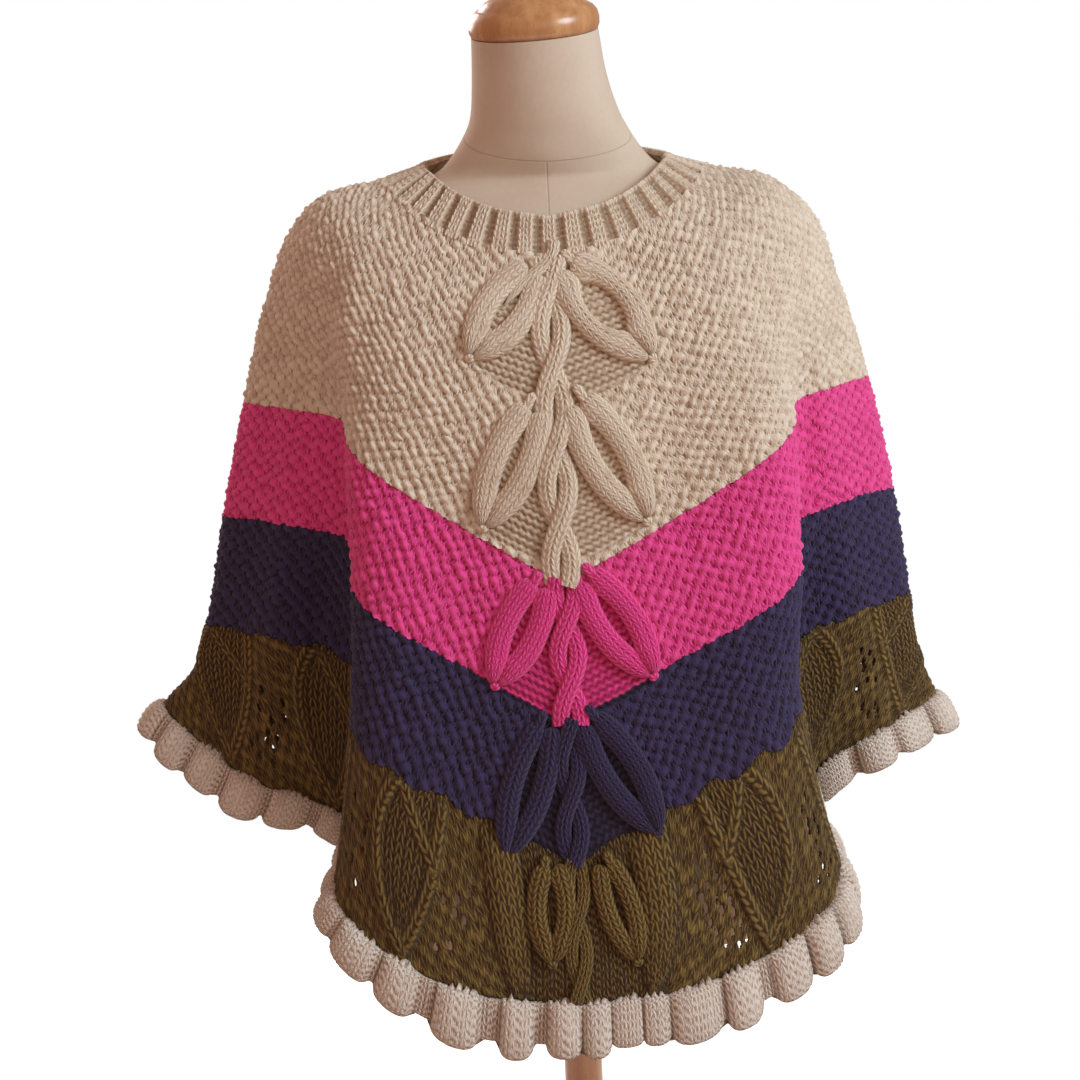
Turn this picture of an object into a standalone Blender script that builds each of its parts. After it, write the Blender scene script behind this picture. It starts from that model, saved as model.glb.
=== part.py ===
"""Knitted poncho worn on a limbless dress form, for Blender 4.5.

Metres, +Z up, front towards -Y. The origin is the middle of the base's underside.
The cloth is one smooth surface, cloth_points(u, v). v counts the knitted rows from the neck
down, in millimetres at the side. u counts stations round the body: 0 centre front, 5 the
right tip, 10 centre back and 15 the left tip. Every panel is a wall on that surface, and
what lies on a panel is made from the same surface, moved out.
"""

import math

import bpy
import numpy as np

MM = 0.001
COLLECTION = "knitted_poncho_on_dress_form"

# ---- cloth sizes, mm
GAP = 0.3  # between neighbouring pieces
WALL = 4.0  # chunky knit
RIB_WALL = 4.6  # the neckband's doubled ribs
ON_CLOTH = 0.45  # from a panel's face to what lies on it
CABLE_HEIGHT = 6.0
STEM_HALF = 8.0  # half the width of the centre cable

# ---- rows of the cloth: where each named level lies, mm of knitting below the neck edge
LEVELS = {
    "neck": 0,
    "band": 35,
    "shoulder": 100,
    "arm": 135,
    "chest": 190,
    "pink": 285,
    "navy": 378,
    "olive": 470,
    "lace": 512,
    "ruffle": 558,
    "hem": 595,
}

# ---- places of the stations from centre front to the side tip, mm, a row for each level
# columns: centre, mid, corner, valley, wing, tip
ACROSS = {
    "neck": (0, 46, 79, 92, 98, 97),
    "band": (0, 56, 98, 118, 129, 130),
    "shoulder": (0, 66, 128, 163, 184, 190),
    "arm": (0, 70, 143, 177, 205, 214),
    "chest": (0, 74, 160, 186, 217, 234),
    "pink": (0, 78, 172, 181, 228, 258),
    "navy": (0, 78, 173, 178, 235, 278),
    "olive": (0, 78, 172, 181, 247, 293),
    "lace": (0, 83, 183, 186, 255, 302),
    "ruffle": (0, 90, 198, 194, 268, 324),
    "hem": (0, 94, 211, 203, 280, 341),
}
FORWARD = {
    "neck": (95, 86, 58, 35, 12, -4),
    "band": (108, 100, 76, 48, 18, -2),
    "shoulder": (136, 130, 108, 78, 38, 0),
    "arm": (144, 138, 118, 86, 42, 0),
    "chest": (153, 147, 126, 88, 44, 0),
    "pink": (156, 151, 130, 80, 44, 0),
    "navy": (160, 156, 136, 66, 40, 0),
    "olive": (166, 162, 141, 46, 35, 0),
    "lace": (172, 167, 138, 44, 35, 0),
    "ruffle": (178, 172, 134, 42, 36, 0),
    "hem": (184, 176, 130, 42, 38, 0),
}
HEIGHT = {
    "neck": (801, 811, 829, 841, 847, 849),
    "band": (768, 780, 803, 821, 834, 839),
    "shoulder": (702, 725, 762, 790, 814, 822),
    "arm": (667, 695, 737, 766, 789, 797),
    "chest": (612, 646, 699, 725, 741, 746),
    "pink": (516, 559, 623, 645, 656, 660),
    "navy": (407, 449, 509, 545, 562, 567),
    "olive": (298, 338, 393, 446, 469, 478),
    "lace": (243, 266, 327, 387, 419, 439),
    "ruffle": (187, 198, 261, 325, 363, 402),
    "hem": (143, 153, 231, 299, 332, 373),
}

# ---- how the garment hangs unevenly: shifts to the right, and rises of the left side, mm
# columns: shift of centre, corner and tip, then rise of corner, valley, wing and tip
SKEW = {
    "neck": (0, 0, 0, 0, 0, 0, 0),
    "band": (0, 0, 0, 0, 0, 0, 0),
    "shoulder": (0, 3, 0, 0, 0, 0, 0),
    "arm": (0, 6, 2, 0, 0, 0, 0),
    "chest": (0, 9, 1, 0, 0, 0, 0),
    "pink": (0, 10, 1, 0, 0, 0, 0),
    "navy": (-2, 10, -1, 0, 0, 0, 0),
    "olive": (-3, 5, -5, 0, 0, 0, 0),
    "lace": (4, 6, -9, 2, -6, -4, 3),
    "ruffle": (4, 8, -15, 4, -12, -9, 10),
    "hem": (3, 6, -18, 12, -8, -10, 12),
}

# ---- the back: its depth as a share of the front's, and the rise of its centre, mm
BACK = {
    "neck": (0.50, 64),
    "band": (0.62, 66),
    "shoulder": (0.80, 50),
    "arm": (0.84, 36),
    "chest": (0.88, 20),
    "pink": (0.92, 6),
    "navy": (0.94, 0),
    "olive": (0.95, 0),
    "lace": (0.95, 0),
    "ruffle": (0.95, 0),
    "hem": (0.95, 0),
}
BACK_FADE = (1, 0.8, 0.45, 0.2, 0.05, 0)  # how the rise dies away, by station
STATION_COUNT = 20  # stations all round the body
HALVES = (("front", 0), ("back", STATION_COUNT // 2))  # the station at each half's middle
STEPS = (2, 3, 3, 2, 3)  # facets between one station and the next
HEM_ROW = LEVELS["hem"]
FRONT_STEP = 90.0  # mm moved for one station when a place is looked up, a little over the real one

# ---- leaf loops on the centre front, mm: root, tip and half width, x across and z up
LEAVES = {
    "leaf_cream_upper_left": (-13, 757, -67, 694, 21),
    "leaf_cream_upper_right": (12, 761, 75, 687, 24),
    "leaf_cream_lower_left": (-15, 649, -58, 563, 21),
    "leaf_cream_lower_right": (15, 655, 63, 564, 22),
    "leaf_pink_left": (-14, 529, -56, 440, 19),
    "leaf_pink_right": (14, 531, 64, 444, 20),
    "leaf_navy_left": (-18, 408, -52, 307, 17),
    "leaf_navy_right": (13, 411, 63, 321, 20),
    "leaf_olive_left": (-20, 297, -27, 223, 15),
    "leaf_olive_right": (20, 299, 46, 221, 15),
}
# the looped cable's section: how far in from the outline, as a share of the half width, and its lift
LEAF_SECTION = ((0, ON_CLOTH), (0.04, 3.5), (0.22, 6), (0.42, 6), (0.62, ON_CLOTH))

# ---- dress form: height, half width, front, back, sideways shift (mm) and tilt (degrees)
TORSO = (
    (200, 156, 86, 98, 0, 0),
    (207, 164, 92, 105, 0, 0),
    (265, 168, 98, 114, 0, 0),
    (335, 157, 97, 110, 0, 0),
    (405, 138, 90, 94, 0, 0),
    (475, 120, 84, 80, 0, 0),
    (535, 127, 97, 84, 0, 0),
    (595, 141, 121, 90, 0, 0),
    (640, 150, 134, 95, 0, 0),
    (685, 159, 127, 98, 0, 0),
    (735, 172, 110, 97, 0, 0),
    (770, 184, 95, 92, 0, 0),
    (793, 188, 83, 82, 0, 0),
    (803, 185, 77, 76, 0, 0),
    (812.5, 178, 70, 69, 1, 0),
    (819.8, 164, 64, 64, 1, 0),
    (825.3, 147, 60, 60, 2, 1),
    (830.6, 127, 57, 57, 2, 2),
    (836.3, 105, 56, 53, 2, 3),
    (843, 89, 59, 48, 2, 4),
    (854, 78, 64, 43, 2, 5),
    (871, 67, 68, 41, 2, 7),
    (887, 60, 72, 36, 1, 9),
    (915, 54.6, 76, 30, -2, 11),
    (949, 51.5, 79, 24, -4, 12.5),
)
TORSO_POINTS = 32
CHEST_SQUARE = 2.2  # superellipse power of a section, 2 being an ellipse
SHOULDER_SQUARE = 1.75
SHOULDER_FROM = 800  # mm, sections are more pointed above it
NECK_FROM = 865  # mm, sections are plain ovals above it
NECK_SQUARE = 2.0
NECK_LEAN = 2.6  # degrees to the left at the neck's top, and of the cap

# ---- neck cap: turned profile, radius and height over the neck, mm, top to bottom
CAP_PROFILE = (
    (0, 36),
    (12, 35.4),
    (22, 33.6),
    (31, 30.6),
    (38, 26.8),
    (42, 23.6),
    (43.6, 21.6),
    (45.5, 20.8),
    (49, 18.6),
    (52, 14.6),
    (53.2, 9.5),
    (53, 4),
    (51.6, 0.8),
    (50.6, 0),
    (0, 0),
)

# ---- stand, mm
POLE_RADIUS = 16.0
BASE_THICK = 18.0
BASE_PROFILE = (
    (0, 18),
    (136, 18),
    (144, 16.5),
    (149, 12),
    (150, 7),
    (148, 2),
    (145, 0),
    (0, 0),
)

# ---- finishes: colour, roughness, metallic
FINISHES = {
    "cream_wool": ((0.63, 0.50, 0.36), 0.9, 0.0),
    "pink_wool": ((0.62, 0.03, 0.20), 0.9, 0.0),
    "navy_wool": ((0.03, 0.025, 0.09), 0.9, 0.0),
    "olive_wool": ((0.11, 0.08, 0.02), 0.9, 0.0),
    "ruffle_wool": ((0.58, 0.47, 0.38), 0.9, 0.0),
    "linen": ((0.62, 0.50, 0.37), 0.85, 0.0),
    "beech": ((0.58, 0.29, 0.12), 0.4, 0.0),
}


def clear_scene():
    for thing in list(bpy.data.objects):
        bpy.data.objects.remove(thing)


def finish(name):
    """The material of that name, made once."""
    material = bpy.data.materials.get(name)
    if material is None:
        colour, roughness, metallic = FINISHES[name]
        material = bpy.data.materials.new(name)
        material.use_nodes = True
        shader = material.node_tree.nodes["Principled BSDF"]
        shader.inputs["Base Color"].default_value = (*colour, 1)
        shader.inputs["Roughness"].default_value = roughness
        shader.inputs["Metallic"].default_value = metallic
    return material


def add_object(name, mesh, material, collection):
    thing = bpy.data.objects.new(name, mesh)
    thing.data.materials.append(finish(material))
    collection.objects.link(thing)
    return thing


# ---- the cloth's surface


def station_ring(level):
    """The stations round a level, from centre front by the right side, back and left."""
    across = np.array(ACROSS[level], float)
    forward = np.array(FORWARD[level], float)
    height = np.array(HEIGHT[level], float)
    centre, corner, tip = SKEW[level][:3]
    shift = np.array((centre, (centre + corner) / 2, corner, corner, (corner + tip) / 2, tip))
    rise = np.array((0, 0, *SKEW[level][3:]))
    share, back_rise = BACK[level]
    quarters = []
    for side, at_back in ((1, False), (1, True), (-1, True), (-1, False)):
        y = -forward
        z = height - side * rise
        if at_back:
            y = np.append(share * forward[:-1], -forward[-1])
            z = z + back_rise * np.array(BACK_FADE)
        quarters.append(np.column_stack((side * across + shift, y, z)))
    right, right_back, left_back, left = quarters
    return np.concatenate((right[:5], right_back[5:0:-1], left_back[:5], left[5:0:-1])) * MM


def level_slopes(at, values):
    """Slopes of a smooth curve through values at uneven places."""
    gap = np.diff(at)
    run = np.diff(values, axis=0) / gap[:, None, None]
    slope = np.empty_like(values)
    slope[0], slope[-1] = run[0], run[-1]
    weight = (gap[:-1] / (gap[:-1] + gap[1:]))[:, None, None]
    slope[1:-1] = run[:-1] * (1 - weight) + run[1:] * weight
    return slope


ROW_AT = np.array(list(LEVELS.values()), float)
RINGS = np.stack([station_ring(level) for level in LEVELS])
RING_SLOPES = level_slopes(ROW_AT, RINGS)


def hermite(t, start, start_slope, end, end_slope):
    """Cubic between start and end, with slopes per unit of t."""
    return (
        (2 * t**3 - 3 * t**2 + 1) * start
        + (t**3 - 2 * t**2 + t) * start_slope
        + (3 * t**2 - 2 * t**3) * end
        + (t**3 - t**2) * end_slope
    )


def stations_at(v):
    """The stations at each row in v."""
    k = np.clip(np.searchsorted(ROW_AT, v, side="right") - 1, 0, len(ROW_AT) - 2)
    gap = (ROW_AT[k + 1] - ROW_AT[k])[:, None, None]
    t = (v - ROW_AT[k])[:, None, None] / gap
    return hermite(t, RINGS[k], gap * RING_SLOPES[k], RINGS[k + 1], gap * RING_SLOPES[k + 1])


def chord_slope(before, here, after, reach):
    """The slope at here, which makes round turns and doesn't overshoot at near stations."""
    first = np.linalg.norm(here - before, axis=1, keepdims=True)
    second = np.linalg.norm(after - here, axis=1, keepdims=True)
    mix = (here - before) / first * second + (after - here) / second * first
    return reach * mix / np.linalg.norm(mix, axis=1, keepdims=True)


def cloth_points(u, v):
    """Points of the cloth's outer face at stations u and rows v, arrays of one length."""
    rings = stations_at(v)
    row = np.arange(len(v))
    k = np.floor(u).astype(int)
    t = (u - k)[:, None]
    before, start, end, after = (rings[row, (k + step) % STATION_COUNT] for step in (-1, 0, 1, 2))
    reach = np.linalg.norm(end - start, axis=1, keepdims=True)
    start_slope = chord_slope(before, start, end, reach)
    end_slope = chord_slope(start, end, after, reach)
    for centre in (0, STATION_COUNT // 2):  # the rows meet in a point at centre front and back
        from_centre = k % STATION_COUNT == centre
        to_centre = (k + 1) % STATION_COUNT == centre
        start_slope[from_centre, 2] = (end - start)[from_centre, 2]
        end_slope[to_centre, 2] = (end - start)[to_centre, 2]
    return hermite(t, start, start_slope, end, end_slope)


def cloth_normals(u, v):
    """Outward unit normals at the same places."""
    du, dv = 0.01, 1.0
    above, below = np.clip(v - dv, 0, HEM_ROW), np.clip(v + dv, 0, HEM_ROW)
    across = cloth_points(u + du, v) - cloth_points(u - du, v)
    down = cloth_points(u, below) - cloth_points(u, above)
    normal = np.cross(down, across)
    return normal / np.linalg.norm(normal, axis=1, keepdims=True)


def lifted(u, v, lift):
    """Points at a distance of lift, in mm, outside the cloth's face."""
    u, v, lift = (np.atleast_1d(np.asarray(a, float)) for a in (u, v, lift))
    return cloth_points(u, v) + cloth_normals(u, v) * lift[:, None] * MM


def on_front(x, z):
    """Stations and rows of the front's points at x across and z up, in mm."""
    x, z = np.asarray(x, float), np.asarray(z, float)
    u = x / FRONT_STEP
    v = np.interp(-z, (-HEIGHT["neck"][0], -HEIGHT["hem"][0]), (0, HEM_ROW))
    for _ in range(30):
        at = cloth_points(u, v) / MM
        u = u + (x - at[:, 0]) / FRONT_STEP
        v = np.clip(v + 0.7 * (at[:, 2] - z), 0, HEM_ROW)
    return u, v


# ---- cloth pieces


def quarter_stations():
    """Station values from 0 to 5, closer where the cloth turns."""
    values = [k + step / count for k, count in enumerate(STEPS) for step in range(count)]
    return values + [5.0]


def half_stations(middle, level):
    """Stations of a half about its middle, half a gap short of the sides."""
    ring = RINGS[list(LEVELS).index(level)]
    seam = GAP / 2 * MM / np.linalg.norm(ring[5] - ring[4])
    quarter = quarter_stations()
    quarter[-1] -= seam
    return [middle - q for q in quarter[:0:-1]] + [middle + q for q in quarter]


def rows_between(top, bottom, count):
    """Rows from one level to another, just short of both seams."""
    first, last = LEVELS[top] + GAP / 2, LEVELS[bottom] - GAP / 2
    return [first + (last - first) * k / count for k in range(count + 1)]


def wall_mesh(name, stations, rows):
    """A closed wall on the cloth's surface. A row is its place, outer lift and inner lift."""
    wide, tall = len(stations), len(rows)
    u = np.tile(np.array(stations, float), tall)
    v = np.repeat([row[0] for row in rows], wide)
    outer = lifted(u, v, np.repeat([row[1] for row in rows], wide))
    inner = lifted(u, v, np.repeat([row[2] for row in rows], wide))
    count = wide * tall
    faces = []
    for j in range(tall - 1):
        for i in range(wide - 1):
            a, b = j * wide + i, (j + 1) * wide + i
            faces.append((a, b, b + 1, a + 1))
            faces.append((count + a + 1, count + b + 1, count + b, count + a))
    for i in range(wide - 1):  # facing edges start at like corners, so that they split alike
        a, b = i, (tall - 1) * wide + i
        faces.append((a + 1, count + a + 1, count + a, a))
        faces.append((b + 1, b, count + b, count + b + 1))
    for j in range(tall - 1):
        a, b = j * wide, (j + 1) * wide
        faces.append((a, count + a, count + b, b))
        a, b = a + wide - 1, b + wide - 1
        faces.append((a, b, count + b, count + a))
    mesh = bpy.data.meshes.new(name)
    mesh.from_pydata(np.concatenate((outer, inner)).tolist(), [], faces)
    return mesh


def add_panels(collection):
    """The neckband, yoke and colour bands, each a front and a back."""
    panels = (
        ("neckband", "neck", "band", 1, RIB_WALL, "cream_wool"),
        ("yoke", "band", "pink", 8, WALL, "cream_wool"),
        ("pink_band", "pink", "navy", 3, WALL, "pink_wool"),
        ("navy_band", "navy", "olive", 3, WALL, "navy_wool"),
        ("olive_lace", "olive", "ruffle", 3, WALL, "olive_wool"),
    )
    for name, top, bottom, count, wall, material in panels:
        rows = [(v, 0, -wall) for v in rows_between(top, bottom, count)]
        for side, middle in HALVES:
            mesh = wall_mesh(f"{name}_{side}", half_stations(middle, top), rows)
            add_object(f"{name}_{side}", mesh, material, collection)


def add_ruffle(collection):
    """A plain ring of the puffed edging's reach."""
    first, last = LEVELS["ruffle"] + GAP, LEVELS["hem"]
    section = ((0.0, 0, -WALL), (0.3, 7, -5), (0.75, 8, -5), (1.0, 2, -3))
    rows = [(first + (last - first) * part, out, inside) for part, out, inside in section]
    for side, middle in HALVES:
        mesh = wall_mesh(f"ruffle_{side}", half_stations(middle, "ruffle"), rows)
        add_object(f"ruffle_{side}", mesh, "ruffle_wool", collection)


def add_stem(collection):
    """The centre cable, a length in each colour, lying on the panels' own rows."""
    lengths = (
        ("stem_cream", "band", "pink", 8, 1.0, "cream_wool"),
        ("stem_pink", "pink", "navy", 3, 1.0, "pink_wool"),
        ("stem_navy", "navy", "olive", 3, 0.8, "navy_wool"),
        ("stem_olive", "olive", "ruffle", 3, 0.7, "olive_wool"),
    )
    for name, top, bottom, count, share, material in lengths:
        half = share * STEM_HALF / ACROSS["pink"][1]
        stations = (-half, -half / 2, 0, half / 2, half)
        rows = [(v, CABLE_HEIGHT, ON_CLOTH) for v in rows_between(top, bottom, count)]
        add_object(name, wall_mesh(name, stations, rows), material, collection)


def leaf_outline(root, tip, half_width, inset, count=10):
    """Points round an almond from root to tip and back, drawn in by inset, in mm."""
    root, tip = np.array(root, float), np.array(tip, float)
    length = np.linalg.norm(tip - root)
    along = (tip - root) / length
    side = np.array((-along[1], along[0]))
    start, end = inset * 1.4, length - inset * 1.4
    points = []
    for way in (1, -1):
        for k in range(count):
            part = k / count if way == 1 else 1 - k / count
            bulge = (half_width - inset) * (4 * part * (1 - part)) ** 0.85
            points.append(root + along * (start + (end - start) * part) + side * bulge * way)
    return np.array(points)


def add_leaves(collection):
    """Each leaf is a cable looped round a sunken middle, lying on the front."""
    for name, (root_x, root_z, tip_x, tip_z, half_width) in LEAVES.items():
        edges = []
        for share, lift in LEAF_SECTION:
            inset = share * half_width
            edge = leaf_outline((root_x, root_z), (tip_x, tip_z), half_width, inset)
            u, v = on_front(edge[:, 0], edge[:, 1])
            edges.append(lifted(u, v, np.full(len(u), lift)))
        around, deep = len(edges[0]), len(edges)
        faces = []
        for j in range(deep):
            for i in range(around):
                a, b = j * around + i, ((j + 1) % deep) * around + i
                c, d = ((j + 1) % deep) * around + (i + 1) % around, j * around + (i + 1) % around
                faces.append((a, b, c, d))
        mesh = bpy.data.meshes.new(name)
        mesh.from_pydata(np.concatenate(edges).tolist(), [], faces)
        material = name.split("_")[1] + "_wool"
        add_object(name, mesh, material, collection)


# ---- dress form and stand


def torso_ring(row):
    """One section of the form, seen from above, a rounded oval that may tilt forward."""
    height, half, front, back, sideways, tilt = row
    power = CHEST_SQUARE
    if height > NECK_FROM:
        power = NECK_SQUARE
    elif height > SHOULDER_FROM:
        power = SHOULDER_SQUARE
    up_neck = max(0, height - NECK_FROM) / (TORSO[-1][0] - NECK_FROM)
    lean = up_neck * math.tan(math.radians(NECK_LEAN))
    middle = (back - front) / 2
    deep = (back + front) / 2
    ring = []
    for k in range(TORSO_POINTS):
        angle = 2 * math.pi * k / TORSO_POINTS
        c, s = math.cos(angle), math.sin(angle)
        x = half * math.copysign(abs(c) ** (2 / power), c)
        y = deep * math.copysign(abs(s) ** (2 / power), s)
        z = height + math.tan(math.radians(tilt)) * y + lean * x
        ring.append((sideways + x, middle + y, z))
    return ring


def add_torso(collection):
    points = [np.array(p) * MM for row in TORSO for p in torso_ring(row)]
    faces = [tuple(range(TORSO_POINTS))[::-1]]
    for j in range(len(TORSO) - 1):
        for i in range(TORSO_POINTS):
            a, b = j * TORSO_POINTS + i, j * TORSO_POINTS + (i + 1) % TORSO_POINTS
            faces.append((a, b, b + TORSO_POINTS, a + TORSO_POINTS))
    top = (len(TORSO) - 1) * TORSO_POINTS
    faces.append(tuple(range(top, top + TORSO_POINTS)))
    mesh = bpy.data.meshes.new("torso")
    mesh.from_pydata([tuple(p) for p in points], [], faces)
    mesh.shade_smooth()
    add_object("torso", mesh, "linen", collection)


def add_turned(name, profile, material, collection, steps):
    """A turned piece: an open profile, top to bottom, and a Screw modifier."""
    mesh = bpy.data.meshes.new(name)
    points = [(radius * MM, 0, height * MM) for radius, height in profile]
    mesh.from_pydata(points, [(k, k + 1) for k in range(len(points) - 1)], [])
    thing = add_object(name, mesh, material, collection)
    screw = thing.modifiers.new("turn", "SCREW")
    screw.steps = steps
    screw.render_steps = steps
    screw.use_merge_vertices = True
    screw.merge_threshold = 0.00001
    return thing


def add_neck_cap(collection):
    height, _, front, back, sideways, tilt = TORSO[-1]
    cap = add_turned("neck_cap", CAP_PROFILE, "beech", collection, 28)
    cap.rotation_euler = (math.radians(tilt), -math.radians(NECK_LEAN), 0)
    cap.location = (sideways * MM, (back - front) / 2 * MM, (height + GAP) * MM)


def add_stand(collection):
    add_turned("base", BASE_PROFILE, "beech", collection, 40)
    low, high = BASE_THICK + GAP, TORSO[0][0] - GAP
    bpy.ops.mesh.primitive_cylinder_add(
        vertices=24,
        radius=POLE_RADIUS * MM,
        depth=(high - low) * MM,
        location=(0, 0, (high + low) / 2 * MM),
    )
    pole = bpy.context.object
    pole.name = "pole"
    pole.data.materials.append(finish("beech"))
    pole.users_collection[0].objects.unlink(pole)
    collection.objects.link(pole)


def main():
    clear_scene()
    collection = bpy.data.collections.new(COLLECTION)
    bpy.context.scene.collection.children.link(collection)
    add_panels(collection)
    add_ruffle(collection)
    add_stem(collection)
    add_leaves(collection)
    add_torso(collection)
    add_neck_cap(collection)
    add_stand(collection)


main()
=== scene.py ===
import functools
import math

import bpy
import numpy as np
from mathutils import Matrix, Vector


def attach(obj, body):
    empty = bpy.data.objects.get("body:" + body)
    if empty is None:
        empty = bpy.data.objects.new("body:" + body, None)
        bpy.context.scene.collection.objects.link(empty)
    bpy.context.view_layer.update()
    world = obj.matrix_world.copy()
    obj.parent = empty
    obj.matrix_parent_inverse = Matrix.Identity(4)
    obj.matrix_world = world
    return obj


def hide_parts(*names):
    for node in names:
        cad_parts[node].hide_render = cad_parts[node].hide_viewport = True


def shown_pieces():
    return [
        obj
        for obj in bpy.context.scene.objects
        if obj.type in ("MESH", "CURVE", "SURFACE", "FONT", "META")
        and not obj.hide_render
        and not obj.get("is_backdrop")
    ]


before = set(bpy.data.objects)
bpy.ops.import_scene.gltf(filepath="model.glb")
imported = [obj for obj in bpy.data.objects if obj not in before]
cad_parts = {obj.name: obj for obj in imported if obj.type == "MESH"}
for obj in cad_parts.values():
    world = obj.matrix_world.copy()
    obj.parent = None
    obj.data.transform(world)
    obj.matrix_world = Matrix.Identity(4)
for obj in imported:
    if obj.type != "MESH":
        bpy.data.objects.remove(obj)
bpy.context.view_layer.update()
mm = 0.001
print("frame loaded:", len(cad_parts), "nodes")

# ---- the cloth's surface, the same sizes as the solids

# columns: the level's row, then its mm from the middle, forward and up at six stations:
# centre, mid, corner, valley, wing and tip
shape = {
    "neck": (0, (0, 46, 79, 92, 98, 97), (95, 86, 58, 35, 12, -4), (801, 811, 829, 841, 847, 849)),
    "band": (35, (0, 56, 98, 118, 129, 130), (108, 100, 76, 48, 18, -2), (768, 780, 803, 821, 834, 839)),
    "shoulder": (100, (0, 66, 128, 163, 184, 190), (136, 130, 108, 78, 38, 0), (702, 725, 762, 790, 814, 822)),
    "arm": (135, (0, 70, 143, 177, 205, 214), (144, 138, 118, 86, 42, 0), (667, 695, 737, 766, 789, 797)),
    "chest": (190, (0, 74, 160, 186, 217, 234), (153, 147, 126, 88, 44, 0), (612, 646, 699, 725, 741, 746)),
    "pink": (285, (0, 78, 172, 181, 228, 258), (156, 151, 130, 80, 44, 0), (516, 559, 623, 645, 656, 660)),
    "navy": (378, (0, 78, 173, 178, 235, 278), (160, 156, 136, 66, 40, 0), (407, 449, 509, 545, 562, 567)),
    "olive": (470, (0, 78, 172, 181, 247, 293), (166, 162, 141, 46, 35, 0), (298, 338, 393, 446, 469, 478)),
    "lace": (512, (0, 83, 183, 186, 255, 302), (172, 167, 138, 44, 35, 0), (243, 266, 327, 387, 419, 439)),
    "ruffle": (558, (0, 90, 198, 194, 268, 324), (178, 172, 134, 42, 36, 0), (187, 198, 261, 325, 363, 402)),
    "hem": (595, (0, 94, 211, 203, 280, 341), (184, 176, 130, 42, 38, 0), (143, 153, 231, 299, 332, 373)),
}
levels = {level: row for level, (row, *_) in shape.items()}
# columns: shift to the right of centre, corner and tip, then rise of the left corner, valley, wing, tip,
# then the back's depth as a share of the front's, and the rise of its centre, mm
skew = {
    "neck": (0, 0, 0, 0, 0, 0, 0, 0.50, 64),
    "band": (0, 0, 0, 0, 0, 0, 0, 0.62, 66),
    "shoulder": (0, 3, 0, 0, 0, 0, 0, 0.80, 50),
    "arm": (0, 6, 2, 0, 0, 0, 0, 0.84, 36),
    "chest": (0, 9, 1, 0, 0, 0, 0, 0.88, 20),
    "pink": (0, 10, 1, 0, 0, 0, 0, 0.92, 6),
    "navy": (-2, 10, -1, 0, 0, 0, 0, 0.94, 0),
    "olive": (-3, 5, -5, 0, 0, 0, 0, 0.95, 0),
    "lace": (4, 6, -9, 2, -6, -4, 3, 0.95, 0),
    "ruffle": (4, 8, -15, 4, -12, -9, 10, 0.95, 0),
    "hem": (3, 6, -18, 12, -8, -10, 12, 0.95, 0),
}
backFade = (1, 0.8, 0.45, 0.2, 0.05, 0)
stationCount = 20
halves = (("front", 0), ("back", 10))
hemRow = levels["hem"]
seamGap = 0.3  # mm between neighbouring pieces


def stationRing(level):
    x, y, z = (np.array(part, float) for part in shape[level][1:])
    centre, corner, tip, *rises, share, backRise = skew[level]
    shift = np.array((centre, (centre + corner) / 2, corner, corner, (corner + tip) / 2, tip))
    rise = np.array((0, 0, *rises))
    quarters = []
    for side, atBack in ((1, False), (1, True), (-1, True), (-1, False)):
        depth, up = -y, z - side * rise
        if atBack:
            depth = np.append(share * y[:-1], -y[-1])
            up = up + backRise * np.array(backFade)
        quarters.append(np.column_stack((side * x + shift, depth, up)))
    right, rightBack, leftBack, left = quarters
    return np.concatenate((right[:5], rightBack[5:0:-1], leftBack[:5], left[5:0:-1])) * mm


def levelSlopes(at, values):
    gap = np.diff(at)
    run = np.diff(values, axis=0) / gap[:, None, None]
    weight = (gap[:-1] / (gap[:-1] + gap[1:]))[:, None, None]
    return np.concatenate((run[:1], run[:-1] * (1 - weight) + run[1:] * weight, run[-1:]))


rowAt = np.array(list(levels.values()), float)
rings = np.stack([stationRing(level) for level in levels])
ringSlopes = levelSlopes(rowAt, rings)


def hermite(t, start, startSlope, end, endSlope):
    return (
        (2 * t**3 - 3 * t**2 + 1) * start
        + (t**3 - 2 * t**2 + t) * startSlope
        + (3 * t**2 - 2 * t**3) * end
        + (t**3 - t**2) * endSlope
    )


def stationsAt(v):
    k = np.clip(np.searchsorted(rowAt, v, side="right") - 1, 0, len(rowAt) - 2)
    gap = (rowAt[k + 1] - rowAt[k])[:, None, None]
    t = (v - rowAt[k])[:, None, None] / gap
    return hermite(t, rings[k], gap * ringSlopes[k], rings[k + 1], gap * ringSlopes[k + 1])


def chordSlope(before, here, after, reach):
    first = np.linalg.norm(here - before, axis=1, keepdims=True)
    second = np.linalg.norm(after - here, axis=1, keepdims=True)
    mix = (here - before) / first * second + (after - here) / second * first
    return reach * mix / np.linalg.norm(mix, axis=1, keepdims=True)


def clothPoints(u, v):
    # each row's stations are worked out once and shared by the points on it
    shared, rowOf = np.unique(v, return_inverse=True)
    ring = stationsAt(shared)
    k = np.floor(u).astype(int)
    t = (u - k)[:, None]
    before, start, end, after = (ring[rowOf, (k + step) % stationCount] for step in (-1, 0, 1, 2))
    reach = np.linalg.norm(end - start, axis=1, keepdims=True)
    startSlope = chordSlope(before, start, end, reach)
    endSlope = chordSlope(start, end, after, reach)
    for centre in (0, stationCount // 2):  # the rows meet in a point at centre front and back
        for slope, off in ((startSlope, 0), (endSlope, 1)):
            meets = (k + off) % stationCount == centre
            slope[meets, 2] = (end - start)[meets, 2]
    return hermite(t, start, startSlope, end, endSlope)


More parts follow.
